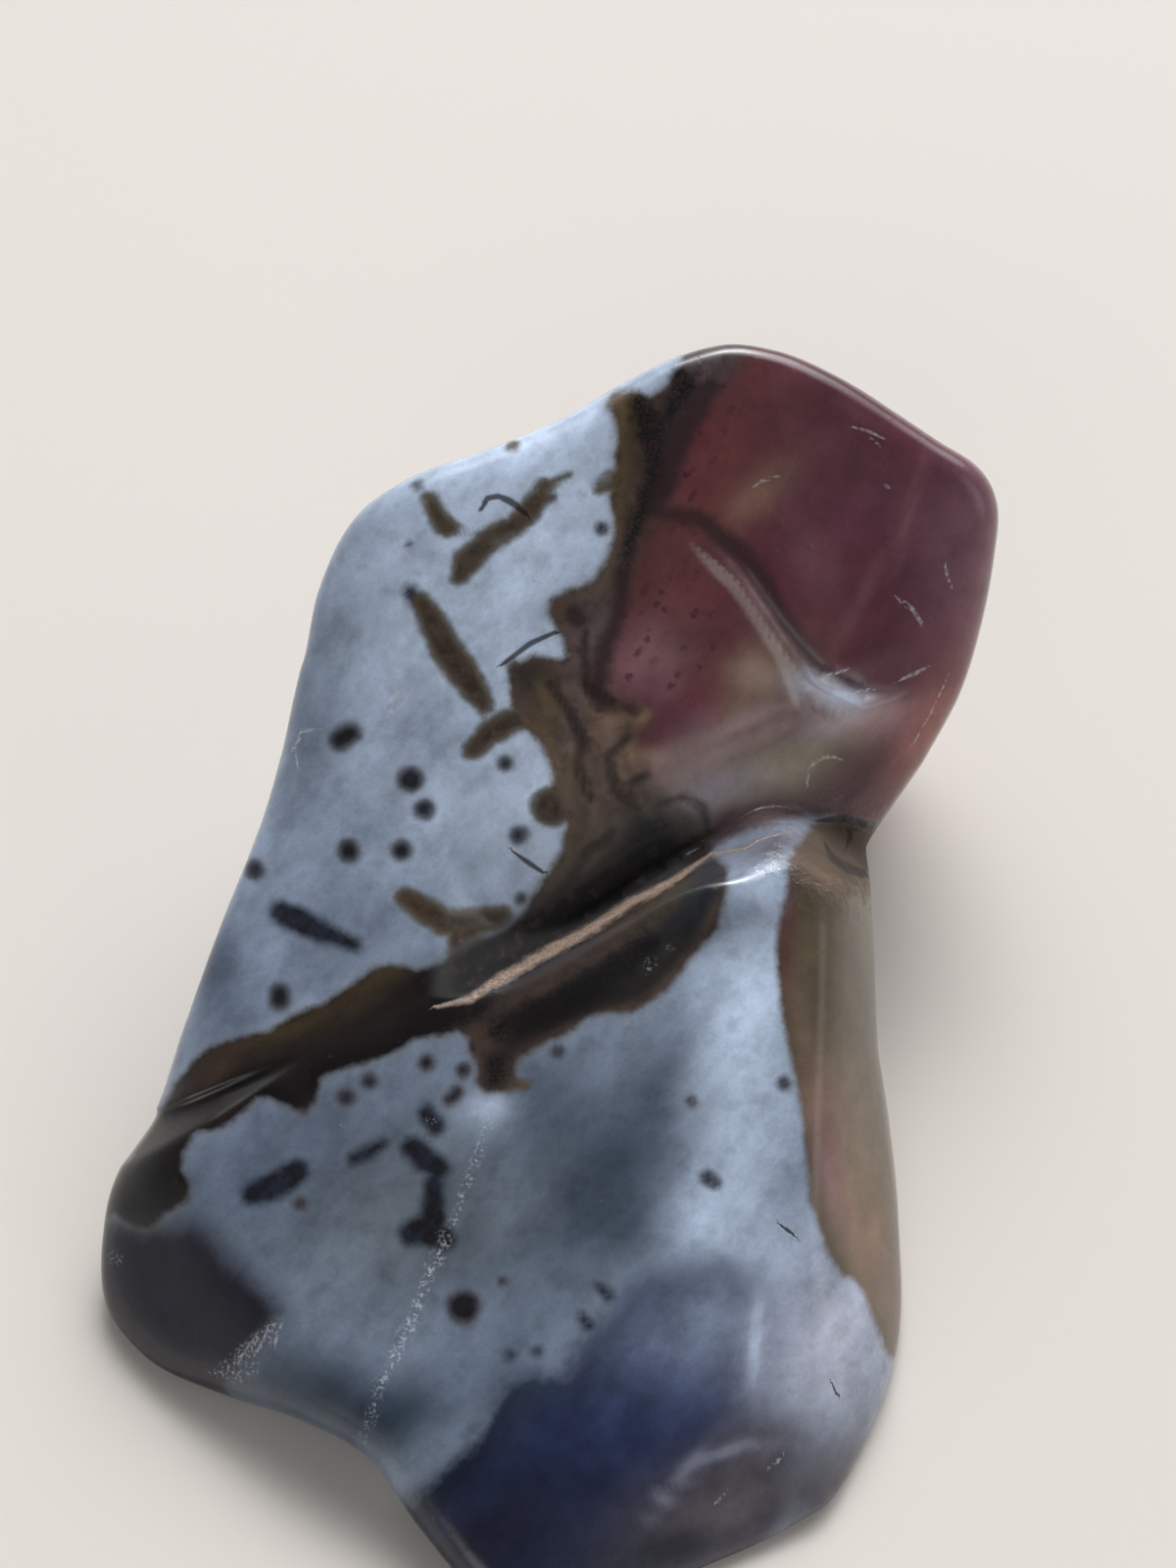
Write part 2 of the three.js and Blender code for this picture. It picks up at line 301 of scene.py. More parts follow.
@dataclass(frozen=True)
class StoneForm:
    """The stone as one field, negative inside, over the leaning face."""

    face: LeaningFace = LeaningFace()
    outline: Outline = Outline()
    grey_head: Facet = Facet((-6.2, 5.0, 2.5), (0.04, -0.10))
    red_head: Facet = Facet((11.3, 11.5, 0.7), (-0.13, -0.02), 1.5)
    olive_head: Facet = Facet((10.0, 3.6, 1.6), (-0.331, 0.262), 1.2)
    cheek: Facet = Facet((15.2, 3.4, -0.5), (-0.40, 0.30), 3.0)
    body_middle: Facet = Facet((0.0, -21.3, 12.0), (0.05, -0.55))
    body_left: Facet = Facet((-6.2, -9.2, 3.9), (-0.13, -0.52), 2.0)
    hump: Facet = Facet((7.5, -7.75, 9.2), (0.45, -0.22), 3.0)
    near: Facet = Facet((0.0, -21.3, 12.0), (-0.09, -0.33), 0.8)
    left_lobe: Facet = Facet((-13.5, -19.5, 10.3), (0.50, -0.10), 1.5)
    corner: Facet = Facet((9.5, -22.9, 11.2), (-0.50, -0.18), 1.2)
    near_end: Facet = Facet((4.7, -25.9, 13.1), (-0.26, -0.04), 0.3)
    right_wall: Facet = Facet((8.1, -7.75, 9.3), (-1.50, -0.24), 1.1)
    red_dish: Swelling = Swelling((12.3, 10.6), (3.8, 4.8), 35.0, -0.85)
    dotted_dish: Swelling = Swelling((4.6, 6.0), (2.4, 3.4), 20.0, -0.45)
    shoulder_knob: Swelling = Swelling((6.0, -4.4), (2.0, 1.8), 0.0, 0.9)
    neck_notch: Swelling = Swelling((10.6, -2.7), (1.5, 1.1), -30.0, -0.6)
    wall_swell: Swelling = Swelling((11.6, -22.3), (2.7, 3.6), -30.0, 1.8)
    crest: tuple[Pair, ...] = (
        (3.2, 12.0), (5.2, 10.0), (6.5, 8.8), (7.8, 6.9), (9.7, 4.2), (11.8, 3.1), (13.8, 3.7), (15.5, 4.7),
    )
    crest_height: float = 0.30
    crest_width: float = 0.38
    crest_fade: float = 0.25
    saddle_at: float = 0.70
    saddle_spread: float = 0.15
    saddle_height: float = 0.55
    saddle_width: float = 0.42
    lip_low: float = -9.0
    lip_rise: float = 6.3
    lip_rising: Rise = Rise(-6.6, 14.5)
    lip_end_drop: float = 1.4
    lip_end_falling: Rise = Rise(8.0, 4.0)
    lip_slant: float = 0.9
    lip_rounding: float = 0.55
    lip_rounding_extra: float = 0.5
    lip_rounding_at: float = 6.4
    lip_rounding_width: float = 1.7
    lip_wear: float = 0.22
    step_steepness: float = 8.0
    step_growing: Rise = Rise(-7.0, 8.5)
    step_lost: float = 5.0
    step_easing: Rise = Rise(4.0, 3.5)
    valley_wide: float = 2.5
    valley_lost: float = 2.0
    valley_narrowing: Rise = Rise(-9.0, 8.0)
    crack_offset: float = 0.45
    crack_width: float = 0.33
    crack_depth: float = 0.8
    crack_opening: Rise = Rise(-5.5, 3.5)
    crack_closing: Rise = Rise(8.2, -2.0)
    rim_tight: float = 2.0
    rim_near_extra: float = 0.4
    rim_near: Rise = Rise(4.0, -8.0)
    rim_flank_extra: float = 1.6
    rim_flank: tuple[Rise, Rise, Rise] = (Rise(-8.0, -6.0), Rise(7.0, -6.0), Rise(-22.0, 6.0))
    front_lean: float = 0.93
    hidden_planes: tuple[HiddenPlane, ...] = (
        HiddenPlane((0.0, 0.94, -0.34), (0.0, 17.5, 14.0), 4.0),
        HiddenPlane((0.0, 0.93, 0.36), (0.0, 18.9, 14.0), 2.0),
        HiddenPlane((0.0, 0.31, -0.95), (0.0, 6.5, 0.0), 4.0),
        HiddenPlane((-0.72, 0.54, -0.55), (-22.5, -21.0, 0.0), 3.0),
        HiddenPlane((0.94, 0.0, -0.34), (14.2, 0.0, 0.0), 2.0),
    )
    hidden_rounding: float = 3.0
    foot_rounding: float = 1.0
    hollows: tuple[Hollow, ...] = (
        Hollow((3.0, 18.0, 12.0), 5.5, 0.9),
        Hollow((-12.0, 1.0, 5.0), 6.0, 0.8),
        Hollow((5.0, 13.0, 2.0), 6.0, 0.7),
        Hollow((17.0, 5.0, 6.0), 4.0, 0.6),
        Hollow((-5.0, 14.0, 9.0), 4.0, -0.5),
    )
    wave_height: float = 0.25
    wave_turns: Triple = (0.35, 0.31, 0.37)
    wave_starts: Triple = (1.3, 0.4, 2.0)
    def head_height(self, u: Array, v: Array) -> Array:
        """Height of the head.

        Args:
            u: Places to the right on the face.
            v: Places up the face.

        Returns:
            Its facets rounded into each other, plus the two dishes and the crest's bell.
        """
        red = self.red_head.height(u, v) + self.red_dish.height(u, v)
        w = smooth_min(self.grey_head.height(u, v), red, self.red_head.blend)
        for facet in (self.olive_head, self.cheek):
            w = smooth_min(w, facet.height(u, v), facet.blend)
        w = w + self.dotted_dish.height(u, v)
        far, share, _ = near_run(np.array(self.crest), u, v)
        fade = ease(share / self.crest_fade) * ease((1.0 - share) / self.crest_fade)
        saddle = bell((share - self.saddle_at) / self.saddle_spread)
        height = self.crest_height + self.saddle_height * saddle
        width = self.crest_width + self.saddle_width * saddle
        return w + height * fade * bell(far / width)

    def body_height(self, u: Array, v: Array) -> Array:
        """Height of the body.

        Args:
            u: Places to the right on the face.
            v: Places up the face.

        Returns:
            Its facets and wall rounded into each other, plus the shoulder's knob and the notch.
        """
        w = self.body_middle.height(u, v)
        for facet in (self.body_left, self.hump):
            w = smooth_max(w, facet.height(u, v), facet.blend)
        for facet in (self.near, self.left_lobe, self.corner, self.near_end):
            w = smooth_min(w, facet.height(u, v), facet.blend)
        wall = self.right_wall.height(u, v) + self.wall_swell.height(u, v)
        w = smooth_min(w, wall, self.right_wall.blend)
        return w + self.shoulder_knob.height(u, v) + self.neck_notch.height(u, v)

    def past_lip(self, u: Array, v: Array) -> Array:
        """How far a place lies past the body's lip.

        Args:
            u: Places to the right on the face.
            v: Places up the face.

        Returns:
            The way up the face from the lip's line, times the lip's slant; negative on the body.
        """
        lip = self.lip_low + self.lip_rise * self.lip_rising.at(u)
        lip = lip - self.lip_end_drop * self.lip_end_falling.at(u)
        return (v - lip) * self.lip_slant

    def front_height(self, u: Array, v: Array) -> Array:
        """Height of the whole front.

        Args:
            u: Places to the right on the face.
            v: Places up the face.

        Returns:
            The larger of head and body, the body falling steeply past its lip, less the crack.
        """
        past = self.past_lip(u, v)
        swell = bell((u - self.lip_rounding_at) / self.lip_rounding_width)
        rounding = self.lip_rounding + self.lip_rounding_extra * swell
        rounded = (past + np.hypot(past, rounding)) / 2.0 - self.lip_wear * rounding
        growing = clamp01((u - self.step_growing.start) / self.step_growing.run)
        steepness = self.step_steepness - self.step_lost * self.step_easing.at(u)
        body = self.body_height(u, v) - steepness * growing**2 * np.maximum(rounded, 0.0)
        blend = self.valley_wide - self.valley_lost * self.valley_narrowing.at(u)
        crack = bell((past - self.crack_offset) / self.crack_width)
        crack = crack * self.crack_opening.at(u) * self.crack_closing.at(u)
        return smooth_max(self.head_height(u, v), body, blend) - self.crack_depth * crack

    def rim_rounding(self, u: Array, v: Array) -> Array:
        """Rounding of the front's rim: tight round the head, softer near the ground, widest on the left."""
        flank = self.rim_flank[0].at(u) * self.rim_flank[1].at(v) * self.rim_flank[2].at(v)
        return self.rim_tight + self.rim_near_extra * self.rim_near.at(v) + self.rim_flank_extra * flank

    def hidden_side(self, points: Array) -> Array:
        """Field of the hidden side, negative inside.

        Args:
            points: Places in x, y, z, one row each.

        Returns:
            Its planes' largest, rounded over, plus what the hollows cut and a product of three sines.
        """
        f = self.hidden_planes[0].beyond(points)
        for plane in self.hidden_planes[1:]:
            f = smooth_max(f, plane.beyond(points), plane.rounding)
        for hollow in self.hollows:
            f = f + hollow.cut(points)
        waves = np.sin(points * np.array(self.wave_turns) + np.array(self.wave_starts))
        return f + self.wave_height * waves.prod(axis=1)

    def field(self, u: Array, v: Array, w: Array) -> Array:
        """The whole stone as one field, negative inside.

        Args:
            u: Places to the right on the face.
            v: Places up the face.
            w: Heights out of the face.

        Returns:
            The largest of front, outline, hidden side and foot, rounded into each other.
        """
        points = self.face.place(u, v, w)
        du = u - self.outline.middle[0]
        dv = v - self.outline.middle[1]
        radius, slope = self.outline.reach(np.arctan2(dv, du))
        side = (np.hypot(du, dv) - radius) / np.hypot(1.0, slope / radius)
        front = (w - self.front_height(u, v)) * self.front_lean
        f = smooth_max(front, side, self.rim_rounding(u, v))
        f = smooth_max(f, self.hidden_side(points), self.hidden_rounding)
        return smooth_max(f, -points[:, 2], self.foot_rounding)


@dataclass(frozen=True)
class StoneSkin:
    """Closed skin of the stone: a cube's divided faces, pulled along rays onto the field's zero."""

    form: StoneForm = StoneForm()
    divisions: tuple[int, int, int] = (146, 196, 60)
    sheet_share: float = 0.65
    sheet_level: float = -4.4
    sheet_slope: float = -0.30
    sheet_bend: float = 0.012
    sheet_left_rise: float = 0.22
    sheet_left_softness: float = 4.0
    ray_step: float = 0.5
    ray_halvings: int = 18
    foot_snap: float = 0.002
    settle_rounds: int = 6
    settle_reach: float = 2.0
    settle_start: Rise = Rise(-7.0, 3.0)
    settle_depth: float = 2.0
    settle_pull: float = 0.6
    settle_least: float = 0.01
    slope_reach: float = 0.01
    slope_least: float = 0.2

    def cube(self) -> tuple[Array, Array]:
        """Cube with divided faces.

        Returns:
            Its corners, between -1 and 1, and its four-sided faces, which point outwards.
        """
        counts = np.array(self.divisions)
        quads = []
        for axis in range(3):
            across = (axis + 1) % 3
            along = (axis + 2) % 3
            i, j = np.meshgrid(np.arange(counts[across]), np.arange(counts[along]), indexing="ij")
            for side in (0, 1):
                corners = []
                for di, dj in ((0, 0), (1, 0), (1, 1), (0, 1)):
                    corner = np.zeros((i.size, 3), dtype=np.int64)
                    corner[:, axis] = side * counts[axis]
                    corner[:, across] = (i + di).ravel()
                    corner[:, along] = (j + dj).ravel()
                    corners.append(corner)
                if side == 0:
                    corners.reverse()
                quads.append(np.stack(corners, axis=1))
        lattice = np.concatenate(quads).reshape(-1, 3)
        keys = (lattice[:, 0] * (counts[1] + 1) + lattice[:, 1]) * (counts[2] + 1) + lattice[:, 2]
        _, first, index = np.unique(keys, return_index=True, return_inverse=True)
        return lattice[first] / counts * 2.0 - 1.0, index.reshape(-1, 4)

    def rays(self, corners: Array) -> tuple[Array, Array]:
        """Rays from a bent sheet inside the stone.

        Args:
            corners: Corners of the divided cube.

        Returns:
            The start and the direction of one ray for each corner.
        """
        directions = np.tan(corners * math.pi / 4.0)
        directions = directions / np.linalg.norm(directions, axis=1, keepdims=True)
        radius, _ = self.form.outline.reach(np.arctan2(directions[:, 1], directions[:, 0]))
        u = self.form.outline.middle[0] + self.sheet_share * radius * directions[:, 0]
        v = self.form.outline.middle[1] + self.sheet_share * radius * directions[:, 1]
        leftward = (np.hypot(u, self.sheet_left_softness) - u) / 2.0
        w = self.sheet_level + self.sheet_slope * v + self.sheet_bend * v * v
        w = w + self.sheet_left_rise * leftward
        return np.stack([u, v, w], axis=1), directions

    def meet(self, starts: Array, directions: Array) -> Array:
        """Points where the rays leave the stone, walked out in steps, then halved onto the skin.

        Args:
            starts: Where the rays start, inside the stone.
            directions: Their directions, of length 1.

        Returns:
            The last point inside the stone on each ray.
        """
        outside = np.full(len(starts), self.ray_step)
        walking = np.arange(len(starts))
        while walking.size:
            places = starts[walking] + outside[walking, None] * directions[walking]
            within = self.form.field(*places.T) < 0.0
            walking = walking[within]
            outside[walking] += self.ray_step
        inside = outside - self.ray_step
        for _ in range(self.ray_halvings):
            half = (inside + outside) / 2.0
            places = starts + half[:, None] * directions
            within = self.form.field(*places.T) < 0.0
            inside = np.where(within, half, inside)
            outside = np.where(within, outside, half)
        return starts + inside[:, None] * directions

    def settle(self, skin: Array, quads: Array) -> Array:
        """Even out the corners round the steep step.

        Args:
            skin: Corners on the skin.
            quads: The faces between them.

        Returns:
            The corners, moved towards their neighbours' middle and back onto the skin, round by round.
        """
        edges = np.concatenate([np.stack([quads[:, i], quads[:, (i + 1) % 4]], axis=1) for i in range(4)])
        counts = np.bincount(edges[:, 0], minlength=len(skin))[:, None]
        u, v, w = skin.T
        near_step = bell(self.form.past_lip(u, v) / self.settle_reach) * self.settle_start.at(u)
        depth = self.form.front_height(u, v) - w
        share = (near_step * ease(1.0 - depth / self.settle_depth))[:, None]
        moved = np.nonzero(share[:, 0] > self.settle_least)[0]
        for _ in range(self.settle_rounds):
            sums = [np.bincount(edges[:, 0], skin[edges[:, 1], axis], len(skin)) for axis in range(3)]
            around = np.stack(sums, axis=1) / counts
            skin = skin + self.settle_pull * share * (around - skin)
            skin[moved] = self.project(skin[moved])
        return skin

    def project(self, points: Array) -> Array:
        """Move points onto the field's zero by two steps of Newton's rule.

        Args:
            points: Points near the skin.

        Returns:
            Each point less its slope times the field over the square of the slope.
        """
        for _ in range(2):
            value = self.form.field(*points.T)
            slopes = []
            for axis in range(3):
                ahead = points.copy()
                ahead[:, axis] += self.slope_reach
                slopes.append((self.form.field(*ahead.T) - value) / self.slope_reach)
            slope = np.stack(slopes, axis=1)
            steep = np.maximum((slope**2).sum(axis=1), self.slope_least)
            points = points - (value / steep)[:, None] * slope
        return points

    def build(self) -> tuple[Array, Array]:
        """Build the skin.

        Returns:
            Its corners over the leaning face, and its four-sided faces.
        """
        corners, quads = self.cube()
        skin = self.meet(*self.rays(corners))
        return self.settle(skin, quads), quads


class Tint(Enum):
    """Colours of the jasper, as the eye reads them, 0 to 255."""

    GREY_BLUE = (150, 164, 184)
    PALE_BLUE = (210, 226, 248)
    SLATE = (74, 84, 102)
    DEEP_SLATE = (46, 56, 70)
    LAVENDER = (168, 172, 190)
    LOBE = (188, 190, 206)
    PLUM = (30, 26, 37)
    NAVY = (33, 41, 66)
    INK = (28, 30, 42)
    STEEL = (114, 124, 146)
    DEEP_BLUE = (44, 56, 96)
    ASH = (98, 90, 94)
    BLACK = (18, 13, 14)
    PITCH = (27, 21, 19)
    DARK_BROWN = (40, 30, 26)
    PURPLE_BROWN = (62, 45, 50)
    SEAM_AND_SHADE_BROWN = (54, 36, 38)
    PURPLE_GREY = (104, 90, 92)
    UMBER = (86, 70, 61)
    UMBER_GREY = (76, 70, 72)
    BROWN = (80, 62, 50)
    OLIVE = (98, 82, 54)
    OLIVE_BROWN = (88, 78, 60)
    BARK = (80, 65, 50)
    DOT = (62, 28, 36)
    FAWN = (128, 108, 94)
    TAN = (150, 120, 100)
    CREAM = (178, 152, 134)
    GREEN_BLACK = (34, 37, 40)
    GREEN_GREY = (112, 118, 112)
    OLIVE_GREY = (112, 104, 88)
    KHAKI = (90, 80, 63)
    SAGE = (146, 138, 114)
    DOVE = (168, 156, 164)
    RUSSET = (70, 46, 44)
    MAROON = (96, 50, 59)
    WINE = (102, 58, 74)
    CRIMSON = (112, 46, 58)
    BRICK = (122, 70, 64)
    CHESTNUT = (84, 56, 52)
    ROSE_BROWN = (102, 66, 68)
    MAUVE = (122, 90, 104)
    ROSE = (150, 112, 116)
    ORANGE_RED = (164, 108, 98)
    PINK = (164, 140, 138)
    WHITE = (224, 224, 228)

    def linear(self) -> Array:
        """The colour in linear light, each channel 0 to 1."""
        value = np.array(self.value) / 255.0
        return np.where(value <= 0.04045, value / 12.92, ((value + 0.055) / 1.055) ** 2.4)

    def rgba(self) -> tuple[float, float, float, float]:
        """The colour in linear light, as a socket takes it."""
        return (*self.linear().tolist(), 1.0)


@dataclass(frozen=True)
class Sight:
    """Where each point of the skin lies along the line of sight that the markings were read from.

    s and t are the place, to the right and up, where the line from the eye through the point meets the
    face's own plane. The depth is how far the point lies below the front.
    """

    s: Array
    t: Array
    depth: Array

    def lost(self, rate: float, clear: float = 0.4) -> Array:
        """What a marking loses below the front: the rate times the depth past the clear depth."""
        return rate * np.maximum(self.depth - clear, 0.0)


@dataclass(frozen=True)
class Eye:
    """Eye that the markings were read from, and how their way through the stone bends below the front."""

    distance: float = 102.1
    slack: float = 0.02
    bending: Rise = Rise(2.5, 6.0)
    bends_s: tuple[Wave, Wave] = (Wave(1.6, (0.0, 0.42, 0.35)), Wave(0.8, (-0.3, 0.9, 0.0)))
    bends_t: tuple[Wave, Wave] = (Wave(1.8, (0.38, 0.0, -0.3), 1.0), Wave(0.7, (0.8, 0.0, 0.5)))

    def sight(self, form: StoneForm, skin: Array) -> Sight:
        """Place of each point in the sight.

        Args:
            form: The stone's form, whose front the depth is measured from.
            skin: Points over the leaning face.

        Returns:
            u and v grown by the eye's distance over what is left of it, plus the bends where it is deep.
        """
        u, v, w = skin.T
        grown = self.distance / (self.distance - w)
        depth = np.maximum(form.front_height(u, v) - w - self.slack, 0.0)
        bend = self.bending.at(depth)
        s = u * grown + bend * sum(wave.at(skin) for wave in self.bends_s)
        t = v * grown + bend * sum(wave.at(skin) for wave in self.bends_t)
        return Sight(s, t, depth)


EYE = Eye()


def over_run(run: tuple[Triple, ...], sight: Sight) -> tuple[Array, Array, Array]:
    """Distance to a run of places, plain and signed, and the run's half-width at the nearest point.

    Args:
        run: Places along the middle of a streak or line, each with its half-width. One place is a spot.
        sight: Where the points of the skin lie in the sight.

    Returns:
        The distance, the same signed by the side, and the half-width between its two nearest places.
    """
    points = np.array(run)
    if len(points) == 1:
        far = np.hypot(sight.s - points[0, 0], sight.t - points[0, 1])
        return far, far, np.full(len(far), points[0, 2])
    far, share, signed = near_run(points, sight.s, sight.t)
    lengths = np.hypot(*np.diff(points[:, :2], axis=0).T)
    marks = np.concatenate([[0.0], np.cumsum(lengths)]) / lengths.sum()
    return far, signed, np.interp(share, marks, points[:, 2])


@dataclass(frozen=True)
class Strokes:
    """Group of streaks, veins or spots, each a run of places with half-widths, thinning out below."""

    runs: tuple[tuple[Triple, ...], ...]
    sink: float = 0.35

    def inside(self, sight: Sight) -> Array:
        """How far inside the nearest streak a point lies.

        Args:
            sight: Where the points lie in the sight.

        Returns:
            The largest of each half-width less the distance to its run, less what the depth takes.
        """
        reach = np.full(len(sight.s), -np.inf)
        for run in self.runs:
            far, _, width = over_run(run, sight)
            reach = np.maximum(reach, width - far)
        return reach - sight.lost(self.sink)


@dataclass(frozen=True)
class ThinLines:
    """Group of lines thinner than the skin's mesh, kept apart from each other.

    Each line is a run of places with its half-widths. The skin carries the signed distance to the nearest
    one over its half-width, which stays true between two corners, and how near it is at all.
    """

    runs: tuple[tuple[Triple, ...], ...]
    sink: float = 0.5
    clear: float = 0.6

    def across(self, sight: Sight) -> tuple[Array, Array]:
        """Where a point lies across the nearest line.

        Args:
            sight: Where the points lie in the sight.

        Returns:
            The signed distance in half-widths, and the half-width less the plain distance.
        """
        side = np.zeros(len(sight.s))
        reach = np.full(len(sight.s), -np.inf)
        for run in self.runs:
            far, signed, width = over_run(run, sight)
            nearer = width - far > reach
            side = np.where(nearer, signed / width, side)
            reach = np.where(nearer, width - far, reach)
        return side, reach - sight.lost(self.sink, self.clear)


@dataclass(frozen=True)
class Patch:
    """Zone with a closed outline; it goes right through the stone unless it sinks."""

    outline: tuple[Pair, ...]
    sink: float = 0.0

    def inside(self, sight: Sight) -> Array:
        """How far inside the zone a point lies.

        Args:
            sight: Where the points lie in the sight.

        Returns:
            The distance to the outline, negative where a line to the right crosses it evenly.
        """
        ahead = self.outline[1:] + self.outline[:1]
        ring = np.array(self.outline + self.outline[:1])
        far, _, _ = near_run(ring, sight.s, sight.t)
        within = np.zeros(len(sight.s), dtype=bool)
        for (au, av), (bu, bv) in zip(self.outline, ahead):
            if av == bv:
                continue
            spans = (av > sight.t) != (bv > sight.t)
            within ^= spans & (sight.s < au + (sight.t - av) * (bu - au) / (bv - av))
        return np.where(within, far, -far) - sight.lost(self.sink)


@dataclass(frozen=True)
class Cloud:
    """Soft turned blot of a colour in a wash, fainter below the front."""

    at: Pair
    size: Pair
    turn: float
    tint: Tint
    strength: float
    fading: Rise = Rise(1.0, 5.0)
    faded: float = 0.7

    def share(self, sight: Sight) -> Array:
        """Share of the cloud's colour.

        Args:
            sight: Where the points lie in the sight.

        Returns:
            The strength times the bell of the way from the middle, less what has faded at the depth.
        """
        shallow = 1.0 - self.faded * self.fading.at(sight.depth)
        bell_share = turned_bell(sight.s - self.at[0], sight.t - self.at[1], self.size, self.turn)
        return self.strength * shallow * bell_share


@dataclass(frozen=True)
class Wash:
    """Ground colour with soft clouds laid over it in order."""

    base: Tint
    clouds: tuple[Cloud, ...]

    def colours(self, sight: Sight) -> Array:
        """Colour of the wash in linear light.

        Args:
            sight: Where the points lie in the sight.

        Returns:
            One row each: every cloud in turn mixes its own colour over what lies below by its share.
        """
        colours = np.tile(self.base.linear(), (len(sight.s), 1))
        for cloud in self.clouds:
            share = cloud.share(sight)[:, None]
            colours = colours * (1.0 - share) + cloud.tint.linear() * share
        return colours


@dataclass(frozen=True)
class Scatter:
    """Inclusions of the sides that the front view hides: short seeded streaks inside the stone."""

    seed: int = 41
    count: int = 70
    half_width: Pair = (0.22, 0.75)
    length: Pair = (0.3, 4.5)
    taper: float = 0.4
    deep: Rise = Rise(1.6, 1.2)
    hidden: float = 2.0
    outside: float = -9.0

    def inside(self, sight: Sight, points: Array) -> Array:
        """How far inside any streak: its half-width less the distance to its line, only where it is deep.

        Args:
            sight: Where the points lie in the sight.
            points: The points of the skin over the leaning face.

        Returns:
            The largest of the streaks' insides, less the hidden part where the point is near the front.
        """
        random = np.random.default_rng(self.seed)
        starts = points[random.integers(0, len(points), self.count)]
        ways = random.normal(size=(self.count, 3))
        ways = ways / np.linalg.norm(ways, axis=1, keepdims=True)
        ways = ways * random.uniform(*self.length, self.count)[:, None]
        widths = random.uniform(*self.half_width, self.count)
        inside = np.full(len(points), self.outside)
        for start, way, width in zip(starts, ways, widths):
            t = clamp01((points - start) @ way / (way @ way))
            far = np.linalg.norm(points - start - t[:, None] * way, axis=1)
            inside = np.maximum(inside, width * (1.0 - self.taper * t) - far)
        return inside - self.hidden * (1.0 - self.deep.at(sight.depth))


# Zones that go right through the stone
VEIN_MASS = Patch((
    (0.8, 16.5), (1.2, 17.0), (2.1, 17.1), (2.7, 16.7), (3.3, 17.1), (3.6, 17.7), (4.1, 18.3), (4.3, 20.4),
    (8.5, 20.8), (7.5, 19.1), (6.5, 17.8), (5.6, 16.9), (4.8, 15.9), (4.3, 14.7), (3.5, 12.2), (2.9, 11.4),
    (2.3, 10.4), (1.5, 7.6), (1.1, 5.9), (1.0, 5.0), (1.1, 4.1), (1.7, 3.7), (2.7, 3.4), (2.9, 2.7),
    (2.3, 2.1), (2.3, 1.2), (2.9, 0.1), (3.7, -0.7), (4.8, -1.2), (5.6, -2.1), (5.3, -3.1), (3.8, -4.1),
    (1.7, -5.3), (-1.3, -7.3), (-5.1, -9.4), (-5.5, -7.9), (-3.9, -7.0), (-2.9, -5.8), (-1.1, -2.9),
    (-0.9, -1.9), (-1.4, -0.4), (-1.6, 0.8), (-2.0, 1.7), (-2.8, 2.6), (-3.2, 3.4), (-3.4, 4.5),
    (-3.3, 5.1), (-2.3, 5.6), (-1.2, 5.3), (-0.8, 5.6), (-1.7, 7.4), (-1.6, 8.0), (-0.9, 8.4), (-0.3, 8.5),
    (0.3, 8.9), (0.8, 9.7), (1.1, 10.5), (1.2, 11.1), (1.0, 12.0), (1.0, 12.7), (1.2, 13.8), (1.3, 15.0),
    (1.2, 15.9),
))
LEFT_BAND = Patch((
    (-22.5, -18.4), (-19.9, -16.3), (-18.7, -14.5), (-18.0, -13.2), (-17.3, -12.2), (-16.4, -11.4),
    (-13.8, -10.7), (-12.6, -10.0), (-11.4, -9.5), (-9.1, -7.9), (-8.3, -7.9), (-7.3, -8.1), (-6.3, -7.8),
    (-5.6, -7.2), (-4.3, -6.7), (-3.0, -6.4), (-3.8, -9.8), (-5.2, -11.1), (-5.6, -10.7), (-7.6, -11.1),
    (-8.6, -11.7), (-11.1, -12.5), (-11.7, -12.8), (-11.8, -13.7), (-12.3, -14.3), (-13.8, -13.6),
    (-14.4, -13.6), (-15.1, -14.3), (-15.9, -14.9), (-17.1, -15.1), (-17.6, -16.0), (-17.7, -16.8),
    (-17.3, -17.5), (-17.4, -18.1), (-18.2, -18.5), (-19.0, -19.2), (-19.7, -19.2), (-20.5, -18.6),
    (-21.7, -19.1),
))
LIP_BAND = Patch((
    (-4.7, -9.4), (0.0, -6.3), (5.4, -3.2), (6.0, -3.6), (6.0, -4.6), (5.6, -6.2), (3.4, -8.9),
    (1.9, -9.9), (0.8, -9.9), (0.0, -10.1), (-0.7, -10.7), (-2.6, -11.6), (-3.1, -12.0), (-3.2, -12.8),
    (-3.5, -13.4), (-4.4, -13.4), (-4.9, -13.0), (-4.8, -12.3), (-5.5, -10.2),
), sink=0.12)
RED_ZONE = Patch((
    (7.2, 20.8), (6.2, 19.1), (4.3, 16.9), (3.5, 15.7), (0.2, 6.2), (0.1, 4.9), (0.3, 3.6), (1.3, 2.6),
    (1.4, 1.5), (2.1, -0.1), (3.4, -1.5), (4.3, -2.6), (5.2, -2.8), (6.6, -2.2), (8.5, -1.6), (9.7, -1.4),
    (11.1, -1.5), (12.6, -1.8), (14.5, -0.9), (16.4, 1.7), (17.9, 4.3), (19.1, 8.5), (19.6, 11.9),
    (18.3, 14.9), (12.8, 18.3), (10.6, 19.8), (8.5, 20.8),
))
WALL_ZONE = Patch((
    (9.7, -1.7), (8.9, -2.8), (8.6, -3.7), (8.6, -4.7), (8.3, -5.7), (8.1, -7.0), (8.3, -9.7),
    (9.2, -14.1), (9.6, -18.2), (10.4, -20.5), (11.0, -21.4), (11.5, -21.5), (12.0, -22.2), (13.0, -24.9),
    (15.7, -25.5), (16.0, -17.0), (14.3, -4.3), (13.8, -2.1), (12.3, -1.6), (10.6, -1.5),
))
